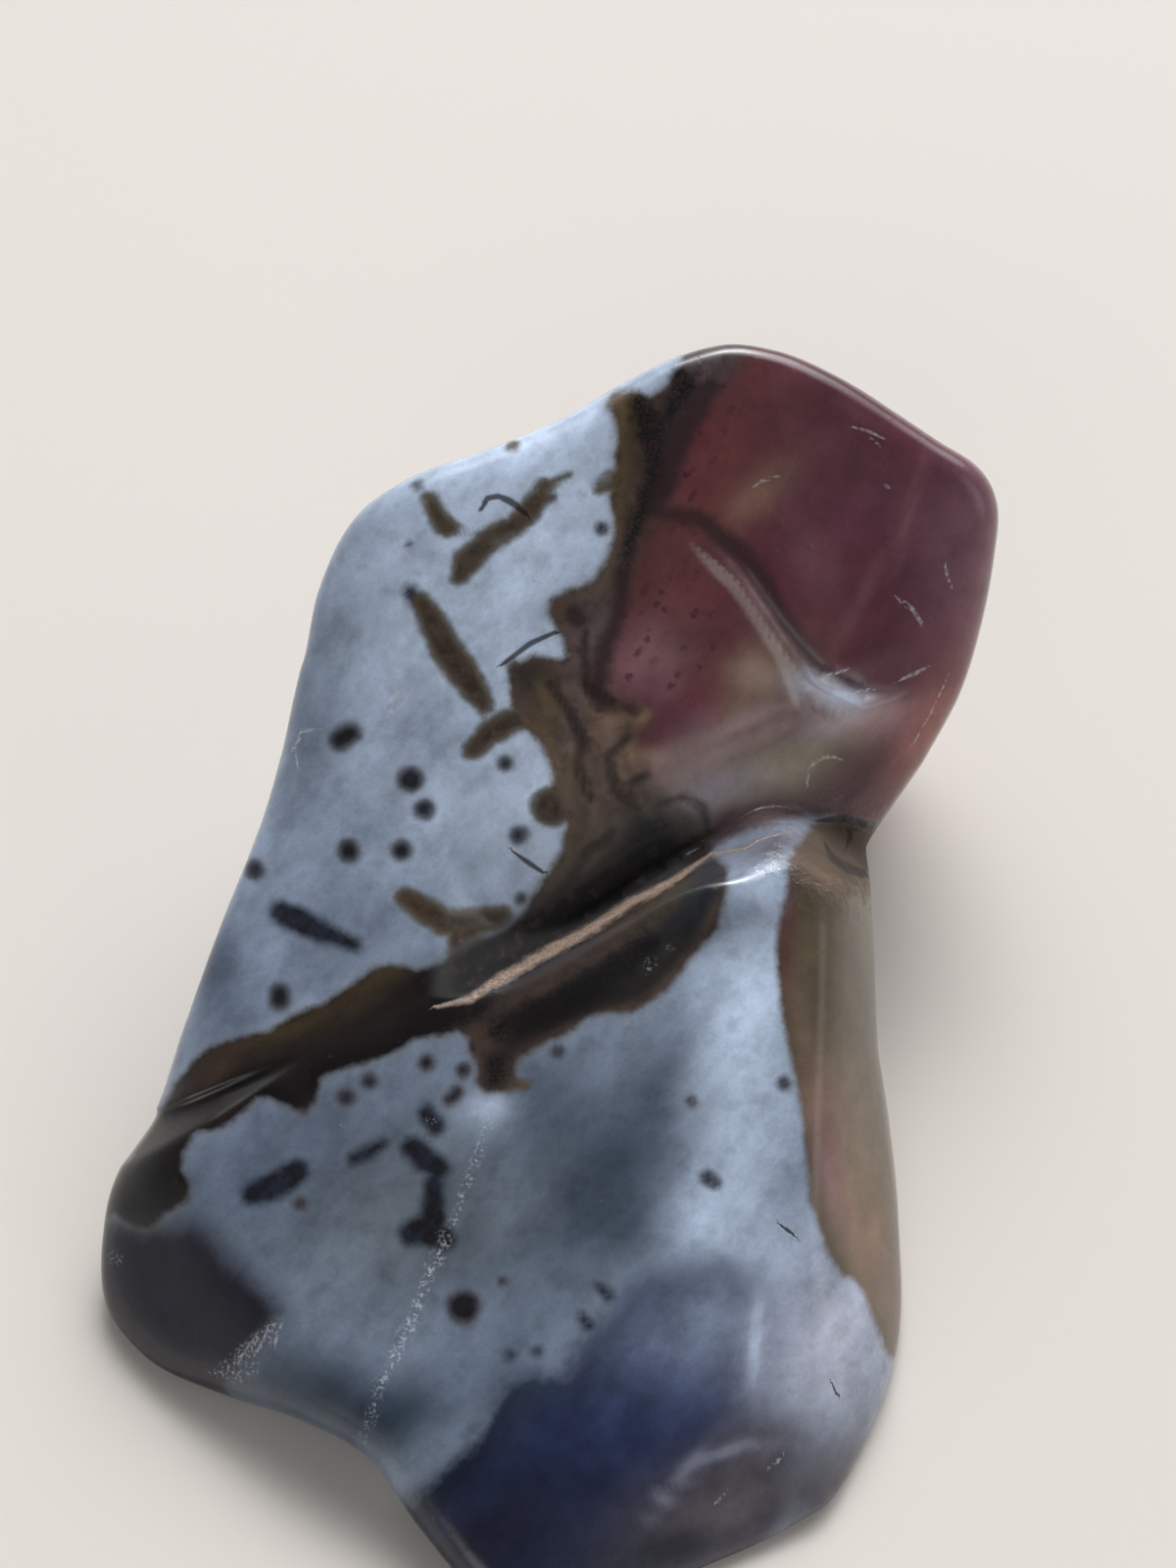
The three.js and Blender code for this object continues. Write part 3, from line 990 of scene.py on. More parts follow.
NAVY_ZONE = Patch((
    (-9.4, -31.7), (-7.6, -30.5), (-6.9, -29.9), (-5.9, -29.2), (-4.8, -28.2), (-4.1, -27.0),
    (-3.4, -26.1), (-2.3, -25.6), (-1.3, -25.4), (0.1, -23.6), (1.0, -22.9), (1.9, -22.0), (2.8, -21.4),
    (4.0, -21.1), (5.0, -20.7), (6.0, -20.5), (6.7, -20.8), (7.4, -21.6), (8.1, -23.1), (8.3, -24.5),
    (8.1, -26.0), (8.3, -27.1), (9.8, -28.5), (8.5, -31.5), (6.8, -34.0), (6.0, -38.3), (-7.2, -38.3),
    (-9.8, -33.2),
))
PLUM_ZONE = Patch((
    (-22.1, -18.5), (-19.1, -18.9), (-17.1, -18.8), (-15.3, -20.4), (-13.5, -22.2), (-13.1, -23.0),
    (-13.5, -23.7), (-14.4, -24.7), (-15.0, -25.7), (-15.7, -27.2), (-18.7, -26.4), (-22.5, -23.4),
))

# Brown streaks, dark blue-black streaks and round spots, which end inside the stone
STREAKS = Strokes((
    ((-6.9, 12.4, 0.26), (-6.5, 11.6, 0.38), (-6.2, 11.1, 0.34), (-5.6, 11.0, 0.13)),
    ((-1.9, 12.8, 0.38), (-2.5, 11.9, 0.47), (-3.2, 11.2, 0.43), (-4.3, 10.6, 0.47), (-5.3, 9.6, 0.55),
     (-5.6, 9.0, 0.34)),
    ((-1.7, 13.0, 0.13), (-0.8, 13.4, 0.09)),
    ((-7.2, 7.9, 0.34), (-6.8, 7.1, 0.55), (-6.2, 5.9, 0.64), (-5.4, 4.8, 0.64), (-4.8, 3.9, 0.51),
     (-4.5, 3.4, 0.34)),
    ((-5.0, 1.5, 0.38), (-4.3, 2.2, 0.51), (-3.4, 2.7, 0.51), (-2.6, 2.9, 0.43)),
    ((-3.2, 5.1, 0.21), (-2.8, 3.8, 0.43), (-2.2, 2.8, 0.34)), ((0.5, 12.9, 0.26), (1.0, 13.2, 0.38)),
    ((-1.6, -1.0, 0.81),),
    ((-7.9, -4.9, 0.38), (-7.2, -5.4, 0.51), (-6.2, -6.0, 0.55), (-5.3, -6.1, 0.6), (-4.3, -5.9, 0.51),
     (-3.7, -5.7, 0.34)),
    ((-5.4, -6.4, 0.68), (-5.2, -7.4, 0.77)), ((0.9, 3.3, 0.34), (2.3, 2.9, 0.38)),
    ((-2.7, -13.1, 0.13), (-3.4, -13.0, 0.26)), ((-3.3, 14.8, 0.3),),
))
DARK_STREAKS = Strokes((
    ((-7.7, 8.3, 0.34), (-7.3, 7.7, 0.26)),
    ((-13.3, -5.6, 0.51), (-12.4, -6.0, 0.55), (-11.4, -6.5, 0.43), (-10.1, -7.0, 0.26)),
    ((-14.5, -17.8, 0.51), (-13.5, -17.4, 0.6), (-12.6, -16.8, 0.51)),
    ((-7.6, -15.8, 0.51), (-7.1, -16.3, 0.55), (-6.5, -16.7, 0.47)),
    ((-6.7, -17.2, 0.38), (-6.7, -18.9, 0.51)),
    ((-7.7, -19.5, 0.51), (-7.0, -19.4, 0.64), (-6.3, -19.7, 0.55)),
    ((-10.2, -16.3, 0.21), (-9.6, -16.0, 0.26), (-8.9, -15.6, 0.17)),
    ((-7.0, -14.3, 0.38), (-6.6, -14.9, 0.38)), ((-7.4, 13.0, 0.21),), ((-18.7, -23.1, 0.34),),
    ((0.5, -21.8, 0.13), (0.9, -22.2, 0.21)), ((-2.2, -24.6, 0.21),),
    ((-0.3, -23.1, 0.13), (0.0, -23.5, 0.17)), ((-3.4, -24.8, 0.21),),
))
SPOTS = Strokes((
    ((-10.8, 1.9, 0.43), (-10.3, 2.2, 0.43)), ((-7.7, 0.2, 0.55),), ((-7.1, -1.1, 0.43),),
    ((-10.4, -2.9, 0.47),), ((-8.1, -2.9, 0.43),), ((-14.5, -3.7, 0.43),), ((-3.6, 0.9, 0.3),),
    ((-3.0, -2.2, 0.38),), ((-2.9, -5.0, 0.21),), ((-13.4, -9.1, 0.43), (-13.4, -9.4, 0.43)),
    ((-10.5, -13.6, 0.38),), ((-9.5, -12.9, 0.34),), ((-7.0, -12.1, 0.34),), ((-12.5, -18.2, 0.26),),
    ((-5.4, -12.4, 0.3),), ((-6.0, -13.7, 0.26), (-5.7, -13.4, 0.26)), ((-5.4, -22.7, 0.72),),
    ((-1.3, -11.6, 0.26),), ((5.2, -17.1, 0.3), (5.5, -17.3, 0.26)), ((4.5, -13.8, 0.21),),
    ((8.5, -13.0, 0.26),), ((0.6, 11.1, 0.26),), ((-1.5, 12.4, 0.17),), ((-7.7, 10.3, 0.17),),
    ((-3.7, -21.6, 0.17),),
))

# Black cores of the veins, soft dark seams of the red head, the one along the crest partly painted shade,
# and dark loops in the vein
CORES = Strokes((
    ((2.2, 16.7, 0.38), (2.6, 15.7, 0.55), (2.9, 14.4, 0.6), (2.9, 13.1, 0.51), (2.4, 11.9, 0.43),
     (1.9, 10.7, 0.38), (1.7, 9.4, 0.3), (1.5, 8.5, 0.21)),
    ((3.8, 18.0, 0.38), (4.3, 17.2, 0.47), (3.8, 16.5, 0.38), (3.5, 16.0, 0.21)),
    ((0.0, 4.3, 0.17), (0.5, 3.4, 0.17)),
    ((-20.4, -18.1, 0.6), (-18.8, -17.8, 0.94), (-17.9, -17.0, 0.43)),
    ((-20.0, -17.2, 0.43), (-18.5, -15.3, 0.34), (-17.7, -13.8, 0.3)),
    ((-15.1, -13.2, 0.26), (-12.8, -13.4, 0.55), (-11.1, -11.9, 0.51), (-8.5, -11.1, 0.55),
     (-6.4, -10.0, 0.68), (-4.7, -9.4, 0.6)),
    ((-7.2, -8.7, 0.34), (-4.3, -7.9, 0.77), (-2.1, -6.3, 0.94), (-0.4, -5.1, 0.68)),
    ((2.1, -2.9, 0.55), (2.7, -2.0, 0.6), (3.1, -1.8, 0.43)),
    ((-3.9, -10.7, 0.51), (-1.7, -9.8, 0.55), (0.9, -8.3, 0.6), (2.6, -7.0, 0.51)),
    ((-4.0, -12.1, 0.43), (-4.0, -12.9, 0.38)),
))
SEAMS_AND_SHADE = Strokes((
    # Along the crest: partly a dark vein, partly painted shade on the crest's shaded upper side
    ((3.1, 11.8, 0.13), (3.8, 11.7, 0.26), (4.8, 11.5, 0.34), (5.7, 10.7, 0.38), (6.7, 9.9, 0.43),
     (7.6, 8.8, 0.38), (8.5, 7.1, 0.3), (9.5, 5.6, 0.3), (10.6, 4.6, 0.26), (11.9, 4.3, 0.13)),
    ((5.3, 17.2, 0.38), (4.5, 16.0, 0.43), (3.8, 14.7, 0.38), (3.5, 13.2, 0.34), (2.9, 12.0, 0.26)),
    ((1.5, 9.1, 0.26), (1.4, 7.7, 0.26), (0.9, 6.4, 0.26), (0.6, 5.4, 0.3), (0.4, 4.1, 0.3),
     (0.9, 3.5, 0.26), (2.1, 3.2, 0.17)),
))
LOOPS = Strokes((
    ((-0.6, 7.4, 0.34), (-0.4, 7.1, 0.3)),
    ((-0.1, 6.6, 0.13), (-0.2, 5.6, 0.17), (0.0, 4.2, 0.17), (1.1, 3.6, 0.13)),
    ((-1.7, 4.3, 0.13), (-0.9, 3.3, 0.17), (-0.3, 2.0, 0.21), (-0.4, 0.6, 0.17), (0.1, -0.6, 0.13)),
    ((1.7, 2.0, 0.13), (0.9, 1.2, 0.17), (1.2, -0.2, 0.17), (2.1, -1.1, 0.13)),
    ((1.1, -2.1, 0.13), (0.0, -2.9, 0.17), (-0.6, -4.0, 0.17), (-1.7, -5.3, 0.17)),
    ((3.1, -0.9, 0.09), (4.1, -0.5, 0.13), (5.0, -1.0, 0.13), (5.2, -2.0, 0.09)),
    ((2.6, 0.4, 0.09), (1.7, 0.0, 0.13), (2.0, -0.9, 0.09)),
))

# Bands of pale specks where the polish is scuffed
SPARKS = Strokes((
    ((-4.3, -14.3, 0.04), (-4.8, -16.2, 0.17), (-5.4, -17.7, 0.09), (-6.1, -19.7, 0.09),
     (-6.6, -20.5, 0.26), (-7.1, -21.8, 0.17), (-7.7, -23.4, 0.21), (-8.4, -24.8, 0.21),
     (-9.0, -26.0, 0.17), (-9.5, -27.9, 0.13), (-10.0, -28.8, 0.04)),
    ((-15.8, -25.4, 0.21), (-14.8, -24.7, 0.34), (-13.5, -23.5, 0.21)),
    ((-16.4, -25.5, 0.09), (-15.3, -25.7, 0.21), (-14.4, -25.4, 0.09)), ((-6.8, -14.6, 0.09),),
    ((-6.3, -19.6, 0.13),), ((3.5, -7.1, 0.04),), ((2.6, -8.0, 0.09), (2.8, -7.7, 0.09)),
    ((-20.5, -20.6, 0.21),),
))

# Marks thinner than the skin's mesh: pale nicks and scratches with a few painted glints among them, dark
# hairlines, the crack's rim
PALE_LINES = ThinLines((
    # Painted glints: two pale specks on the glassy near facet
    ((5.5, -31.3, 0.04), (5.8, -31.0, 0.09), (6.0, -30.7, 0.04)),
    ((7.8, -29.8, 0.04), (8.1, -29.5, 0.1), (8.4, -29.2, 0.04)),
    ((13.5, 8.0, 0.06), (13.8, 7.8, 0.13), (14.1, 7.6, 0.09), (14.4, 7.1, 0.09)),
    ((11.5, 15.5, 0.04), (12.2, 15.3, 0.07), (12.8, 15.0, 0.04)), ((12.6, 13.4, 0.06), (13.0, 12.9, 0.09)),
    ((15.5, 9.7, 0.04), (15.6, 9.1, 0.09), (15.7, 8.6, 0.04)), ((10.6, 4.8, 0.06), (11.1, 4.9, 0.06)),
    ((11.7, 4.0, 0.06), (12.2, 4.1, 0.06)), ((13.5, 4.5, 0.04), (14.0, 4.7, 0.09), (14.8, 5.1, 0.06)),
    ((9.5, 0.0, 0.04), (9.6, 0.6, 0.08), (10.0, 1.1, 0.09), (10.6, 1.2, 0.07), (10.9, 1.1, 0.04)),
    # Painted highlight: a thin pale line along the red head's lower right side
    ((14.1, 1.7, 0.03), (14.9, 3.1, 0.04), (15.6, 4.6, 0.03)),
    ((7.2, 12.9, 0.04), (7.7, 13.2, 0.09), (8.5, 13.5, 0.04)), ((-8.7, 3.5, 0.09), (-8.2, 4.0, 0.13)),
    ((-8.6, 3.1, 0.09), (-8.0, 3.6, 0.13)),
    ((-12.6, 0.8, 0.04), (-12.8, 1.5, 0.09), (-12.4, 2.3, 0.09), (-11.8, 2.4, 0.04)),
    ((-14.5, -24.1, 0.04), (-15.1, -24.9, 0.06)), ((-13.9, -23.7, 0.04), (-14.4, -24.7, 0.06)),
    ((-13.3, -23.4, 0.04), (-13.6, -24.3, 0.06)),
))
DARK_LINES = ThinLines((
    ((-4.6, 11.9, 0.09), (-4.4, 12.4, 0.13), (-3.9, 12.5, 0.13), (-3.2, 12.2, 0.17), (-2.7, 11.6, 0.09)),
    ((-3.7, 5.2, 0.09), (-2.5, 6.1, 0.13), (-1.4, 6.6, 0.09)),
    ((-3.3, -2.9, 0.04), (-2.6, -3.4, 0.13), (-2.0, -3.8, 0.09)),
    ((8.3, -19.1, 0.03), (8.7, -19.4, 0.09), (9.0, -19.7, 0.03)),
    ((10.6, -26.0, 0.03), (10.8, -26.5, 0.06)),
    ((10.0, -1.6, 0.06), (11.1, -1.5, 0.21), (12.3, -1.8, 0.17)),
    ((10.3, -2.6, 0.06), (10.6, -3.2, 0.15), (11.3, -3.7, 0.21), (12.3, -4.0, 0.17)),
    ((11.1, -1.6, 0.04), (11.4, -2.2, 0.11), (11.2, -2.8, 0.04)),
))
CRACK_LINE = ThinLines((
    ((-6.6, -9.7, 0.06), (-5.1, -9.4, 0.13), (-4.4, -8.8, 0.17), (-2.9, -8.0, 0.21), (-1.4, -7.1, 0.21),
     (0.3, -6.2, 0.19), (1.9, -5.1, 0.17), (2.6, -4.8, 0.17), (3.7, -4.2, 0.14), (4.5, -3.6, 0.09),
     (5.4, -3.0, 0.06), (6.8, -2.8, 0.04), (7.4, -2.4, 0.03), (8.5, -2.1, 0.03)),
), sink=1.5)

# Soft colours of the ground and of each zone, with painted highlights, sheen and shade among the clouds
GROUND_WASH = Wash(Tint.GREY_BLUE, (
    Cloud((-3.4, 8.5), (8.5, 9.5), -15.0, Tint.PALE_BLUE, 0.75),
    Cloud((-5.1, 6.0), (5.0, 8.0), -10.0, Tint.PALE_BLUE, 0.5),
    Cloud((-1.1, 13.6), (4.6, 3.6), 20.0, Tint.PALE_BLUE, 0.9),
    Cloud((-1.9, 0.0), (3.2, 5.4), 20.0, Tint.PALE_BLUE, 0.9),
    Cloud((-5.1, -1.3), (2.6, 2.6), 0.0, Tint.PALE_BLUE, 0.35),
    Cloud((-7.2, 2.6), (3.4, 2.4), 0.0, Tint.GREY_BLUE, 0.5),
    # Painted shade: darker down the left rim, where it turns away from the light
    Cloud((-10.8, 10.2), (1.8, 6.0), -12.0, Tint.SLATE, 0.35),
    Cloud((-12.8, 4.3), (1.7, 6.0), 8.0, Tint.SLATE, 0.5),
    Cloud((-16.5, -7.2), (1.7, 6.5), 15.0, Tint.SLATE, 0.85),
    Cloud((-10.6, -6.8), (4.5, 2.6), 30.0, Tint.SLATE, 0.4),
    Cloud((-12.8, -16.2), (8.0, 4.0), 25.0, Tint.SLATE, 0.75),
    Cloud((-6.4, -19.6), (8.0, 6.0), -20.0, Tint.SLATE, 0.9),
    Cloud((-4.7, -17.7), (5.5, 4.6), 0.0, Tint.GREEN_GREY, 0.3),
    Cloud((-9.4, -19.6), (4.0, 3.6), 0.0, Tint.GREEN_GREY, 0.3),
    Cloud((-1.4, -14.5), (3.0, 3.6), 30.0, Tint.DEEP_SLATE, 0.72),
    Cloud((0.9, -17.0), (1.8, 5.4), -28.0, Tint.DEEP_SLATE, 0.85),
    Cloud((2.2, -18.4), (1.5, 2.8), -20.0, Tint.DEEP_SLATE, 0.85),
    Cloud((3.5, -13.2), (1.4, 3.4), -14.0, Tint.SLATE, 0.8),
    # Paler down the body's right side: partly paler stone, partly a painted sheen along the ridge to the
    # wall
    Cloud((7.0, -9.8), (2.3, 5.5), -4.0, Tint.PALE_BLUE, 0.75),
    Cloud((6.6, -15.7), (2.2, 4.4), 5.0, Tint.PALE_BLUE, 0.6),
    Cloud((6.0, -19.4), (2.8, 1.5), -25.0, Tint.PALE_BLUE, 0.5),
    Cloud((7.0, -5.6), (1.8, 0.8), 10.0, Tint.SLATE, 0.45),
    Cloud((8.1, -2.6), (2.4, 0.9), 20.0, Tint.ASH, 0.8),
    Cloud((-4.3, -14.0), (1.2, 1.0), 0.0, Tint.PALE_BLUE, 0.45),
    Cloud((-11.1, -26.4), (3.4, 1.5), -25.0, Tint.DEEP_SLATE, 0.8),
    Cloud((-4.3, -25.5), (1.0, 3.6), -42.0, Tint.DEEP_SLATE, 0.6),
    Cloud((-6.2, -27.2), (1.0, 3.0), -42.0, Tint.GREY_BLUE, 0.35),
    Cloud((-8.5, -27.4), (3.8, 1.8), 20.0, Tint.DEEP_SLATE, 0.95),
    Cloud((-12.8, -26.8), (4.0, 1.5), -14.0, Tint.DEEP_SLATE, 0.9),
    Cloud((10.6, -24.2), (2.6, 4.4), -15.0, Tint.LOBE, 0.95),
    Cloud((10.4, -30.4), (4.4, 2.2), 28.0, Tint.ASH, 0.9),
    Cloud((8.5, -27.7), (1.2, 0.8), 20.0, Tint.ASH, 0.3),
))
NAVY_WASH = Wash(Tint.NAVY, (
    Cloud((-5.5, -28.7), (5.2, 1.6), 48.0, Tint.INK, 0.85),
    Cloud((-1.7, -25.5), (3.0, 1.0), 42.0, Tint.DEEP_SLATE, 0.7),
    Cloud((2.8, -26.2), (4.0, 2.6), 38.0, Tint.DEEP_BLUE, 0.85),
    Cloud((5.2, -22.9), (4.4, 2.8), 25.0, Tint.STEEL, 0.98),
    Cloud((6.2, -22.8), (2.2, 2.4), 0.0, Tint.GREY_BLUE, 0.35),
    Cloud((2.3, -23.2), (2.6, 0.8), 40.0, Tint.SLATE, 0.6),
    # Painted sheen: a pale blot on the near right corner and a thin vertical sheen above it
    Cloud((8.2, -25.1), (1.6, 4.0), 0.0, Tint.LAVENDER, 0.75),
    Cloud((7.3, -24.0), (0.3, 1.9), -4.0, Tint.PALE_BLUE, 0.6),
    Cloud((-4.3, -32.8), (4.0, 1.6), 35.0, Tint.PLUM, 0.7),
    Cloud((6.5, -31.3), (5.2, 2.4), 26.0, Tint.ASH, 0.97),
    Cloud((8.1, -28.5), (2.2, 0.7), 10.0, Tint.ASH, 0.6),
    # Painted highlight along the curved crease of the near facet
    Cloud((3.7, -30.5), (1.9, 0.3), 52.0, Tint.LAVENDER, 0.45),
    Cloud((6.0, -29.0), (1.7, 0.26), 18.0, Tint.LAVENDER, 0.45),
    Cloud((8.3, -28.7), (1.4, 0.26), 0.0, Tint.LAVENDER, 0.4),
    Cloud((3.8, -33.1), (2.2, 0.8), 14.0, Tint.INK, 0.9),
    Cloud((7.7, -31.7), (1.2, 0.5), 40.0, Tint.PLUM, 0.5),
))
RED_WASH = Wash(Tint.MAROON, (
    Cloud((8.5, 17.0), (5.0, 2.4), -25.0, Tint.ROSE_BROWN, 0.5),
    Cloud((5.7, 14.0), (1.5, 4.0), -18.0, Tint.BRICK, 0.55),
    Cloud((7.6, 12.7), (0.8, 1.9), -50.0, Tint.TAN, 0.7),
    Cloud((11.9, 11.9), (3.6, 3.2), 30.0, Tint.WINE, 0.55),
    Cloud((16.0, 10.2), (2.0, 5.0), -10.0, Tint.MAUVE, 0.6),
    Cloud((17.2, 8.5), (1.2, 4.0), -8.0, Tint.ROSE, 0.45),
    Cloud((11.9, 8.1), (0.35, 3.0), -28.0, Tint.ROSE, 0.25),
    Cloud((14.0, 11.9), (0.2, 2.6), -14.0, Tint.ROSE, 0.3),
    Cloud((2.3, 10.8), (1.6, 1.8), -25.0, Tint.BROWN, 0.7),
    Cloud((2.3, 8.5), (0.8, 2.6), 8.0, Tint.PURPLE_BROWN, 0.6),
    Cloud((3.8, 8.5), (2.4, 2.6), 0.0, Tint.BRICK, 0.55),
    Cloud((2.9, 5.3), (2.0, 1.7), 10.0, Tint.ROSE, 0.75),
    Cloud((5.7, 3.7), (1.5, 1.6), 10.0, Tint.CRIMSON, 0.6),
    Cloud((4.8, 2.8), (1.2, 0.5), 30.0, Tint.MAUVE, 0.5),
    # Painted highlight along the crest
    Cloud((7.8, 7.3), (0.26, 3.0), 36.0, Tint.PINK, 0.6),
    Cloud((9.4, 5.0), (0.45, 1.9), 46.0, Tint.DOVE, 0.9),
    Cloud((7.7, 4.7), (2.2, 1.4), 45.0, Tint.TAN, 0.9),
    Cloud((7.1, 4.8), (1.0, 0.9), 0.0, Tint.CREAM, 0.7),
    Cloud((2.6, 1.2), (1.4, 0.35), -10.0, Tint.TAN, 0.8),
    Cloud((3.7, 0.4), (0.9, 0.35), -40.0, Tint.CREAM, 0.6),
    Cloud((7.0, 3.2), (1.2, 0.8), 30.0, Tint.FAWN, 0.8),
    # Painted highlight on the saddle between the crest and the olive facet
    Cloud((10.6, 3.9), (1.7, 0.62), -18.0, Tint.PALE_BLUE, 0.97),
    Cloud((12.5, 3.3), (1.2, 0.5), 10.0, Tint.PINK, 0.6),
    Cloud((7.1, 2.7), (3.8, 0.55), 24.0, Tint.PINK, 0.95),
    Cloud((5.7, 1.7), (3.0, 0.26), 26.0, Tint.MAUVE, 0.9),
    Cloud((5.2, 1.0), (2.8, 0.4), 24.0, Tint.FAWN, 0.6),
    Cloud((3.8, 0.2), (1.8, 1.3), 20.0, Tint.FAWN, 0.7),
    Cloud((8.3, 0.7), (3.8, 1.4), 22.0, Tint.SAGE, 0.95),
    Cloud((4.3, 1.1), (2.4, 0.8), 26.0, Tint.PINK, 0.5),
    Cloud((7.0, 1.8), (3.6, 0.3), 24.0, Tint.PINK, 0.5),
    Cloud((10.6, 2.5), (1.6, 0.6), 15.0, Tint.DOVE, 0.6),
    Cloud((5.4, -0.3), (2.4, 0.9), 15.0, Tint.DOVE, 0.85),
    Cloud((12.5, 0.7), (2.2, 1.1), 45.0, Tint.RUSSET, 0.95),
    Cloud((14.7, 2.8), (1.0, 2.6), -32.0, Tint.ORANGE_RED, 0.85),
    Cloud((13.0, 2.6), (1.4, 0.8), 30.0, Tint.ROSE, 0.6),
    Cloud((7.4, -2.1), (2.8, 0.9), 12.0, Tint.ASH, 0.95),
    Cloud((10.6, -2.6), (2.0, 1.2), -10.0, Tint.BROWN, 0.9),
))
WALL_WASH = Wash(Tint.KHAKI, (
    Cloud((8.6, -6.8), (0.5, 3.6), 0.0, Tint.CHESTNUT, 0.95),
    Cloud((9.4, -11.9), (0.6, 4.4), 6.0, Tint.FAWN, 0.5),
    Cloud((10.6, -14.0), (1.3, 3.0), 8.0, Tint.TAN, 0.5),
    Cloud((10.4, -16.6), (0.6, 2.6), 10.0, Tint.ROSE, 0.6),
    Cloud((11.1, -17.7), (0.3, 2.8), 14.0, Tint.BRICK, 0.45),
    Cloud((12.1, -19.1), (1.2, 4.0), 10.0, Tint.TAN, 0.55),
    Cloud((13.0, -23.4), (1.2, 2.0), 0.0, Tint.FAWN, 0.45),
    Cloud((10.8, -2.8), (1.9, 1.7), 0.0, Tint.BROWN, 0.9),
    Cloud((10.4, -4.3), (1.6, 0.5), -30.0, Tint.TAN, 0.5),
    Cloud((8.5, -5.5), (0.5, 2.2), 0.0, Tint.CHESTNUT, 0.7),
))
VEIN_WASH = Wash(Tint.UMBER, (
    Cloud((1.4, 14.0), (0.7, 3.4), -3.0, Tint.OLIVE, 0.9),
    Cloud((2.3, 16.8), (1.6, 0.8), 0.0, Tint.OLIVE, 0.6),
    Cloud((4.4, 16.0), (1.7, 4.6), -25.0, Tint.PURPLE_BROWN, 0.95),
    Cloud((4.9, 17.1), (1.2, 2.2), -30.0, Tint.PURPLE_GREY, 0.6),
    Cloud((0.0, 8.5), (1.8, 0.6), 20.0, Tint.OLIVE_BROWN, 0.7),
    Cloud((0.2, 6.4), (1.0, 2.0), -5.0, Tint.PURPLE_GREY, 0.8),
    Cloud((2.0, 8.5), (0.5, 2.0), 5.0, Tint.PURPLE_GREY, 0.6),
    Cloud((-2.5, 4.8), (1.0, 1.1), 0.0, Tint.GREEN_BLACK, 0.85),
    Cloud((-0.7, 2.6), (0.5, 1.6), -20.0, Tint.PURPLE_GREY, 0.6),
    Cloud((-1.3, 0.4), (1.2, 3.0), 10.0, Tint.FAWN, 0.45),
    Cloud((0.4, 0.9), (1.4, 1.8), 20.0, Tint.FAWN, 0.35),
    Cloud((-1.7, 2.6), (0.6, 2.6), 10.0, Tint.OLIVE, 0.5),
    Cloud((1.9, 3.1), (1.7, 0.5), -8.0, Tint.TAN, 0.9),
    Cloud((2.0, 1.3), (1.3, 0.4), -8.0, Tint.TAN, 0.8),
    Cloud((0.9, 2.0), (0.4, 1.2), 20.0, Tint.FAWN, 0.7),
    Cloud((0.9, 2.8), (0.5, 1.4), -30.0, Tint.TAN, 0.5),
    Cloud((1.7, 0.0), (1.6, 1.0), 20.0, Tint.FAWN, 0.6),
    Cloud((0.2, -1.5), (1.4, 1.1), 20.0, Tint.FAWN, 0.5),
    Cloud((4.3, -1.4), (2.4, 1.5), 20.0, Tint.OLIVE_GREY, 0.8),
    Cloud((2.3, -2.5), (1.5, 1.5), 40.0, Tint.GREEN_BLACK, 0.8),
    Cloud((0.0, -4.5), (3.0, 1.0), 45.0, Tint.PITCH, 0.7),
    Cloud((-0.4, -2.6), (1.4, 1.6), 20.0, Tint.UMBER, 0.7),
    Cloud((-1.2, -3.8), (2.2, 0.9), 60.0, Tint.OLIVE_BROWN, 0.85),
    Cloud((-14.0, -12.5), (10.0, 5.0), 28.0, Tint.PITCH, 0.88),
    Cloud((-19.1, -16.6), (5.0, 3.2), 45.0, Tint.PITCH, 0.97),
    Cloud((-12.8, -12.1), (5.4, 2.6), 20.0, Tint.PITCH, 0.95),
    Cloud((-7.2, -9.4), (5.0, 2.4), 22.0, Tint.PITCH, 0.95),
    Cloud((-16.1, -12.3), (2.0, 0.5), 45.0, Tint.BROWN, 0.4),
    Cloud((-12.8, -10.6), (2.6, 0.6), 22.0, Tint.OLIVE, 0.25),
    Cloud((-9.1, -8.5), (2.0, 0.6), 28.0, Tint.OLIVE, 0.25),
    Cloud((0.0, -8.3), (7.0, 2.8), 32.0, Tint.GREEN_BLACK, 0.98),
    Cloud((4.3, -5.1), (3.4, 2.2), 40.0, Tint.GREEN_BLACK, 0.97),
    Cloud((2.0, -7.6), (1.0, 0.6), 40.0, Tint.UMBER_GREY, 0.35),
    Cloud((-1.2, -10.1), (4.4, 1.3), 24.0, Tint.PITCH, 0.8),
    Cloud((-2.3, -8.8), (2.2, 0.5), 30.0, Tint.UMBER, 0.7),
    Cloud((0.8, -6.9), (2.6, 0.6), 33.0, Tint.UMBER, 0.75),
    Cloud((4.0, -4.6), (2.2, 0.6), 38.0, Tint.OLIVE_BROWN, 0.7),
    Cloud((5.3, -4.2), (1.5, 1.0), 45.0, Tint.DEEP_SLATE, 0.6),
    Cloud((5.4, -5.7), (1.6, 0.3), 70.0, Tint.UMBER, 0.8),
    Cloud((3.8, -8.3), (2.0, 0.3), 45.0, Tint.UMBER, 0.8),
    Cloud((0.9, -10.0), (2.0, 0.28), 20.0, Tint.UMBER, 0.8),
    Cloud((-1.9, -11.3), (1.6, 0.28), 30.0, Tint.UMBER, 0.8),
    Cloud((-4.5, -11.1), (0.9, 1.6), -12.0, Tint.UMBER, 0.7),
))


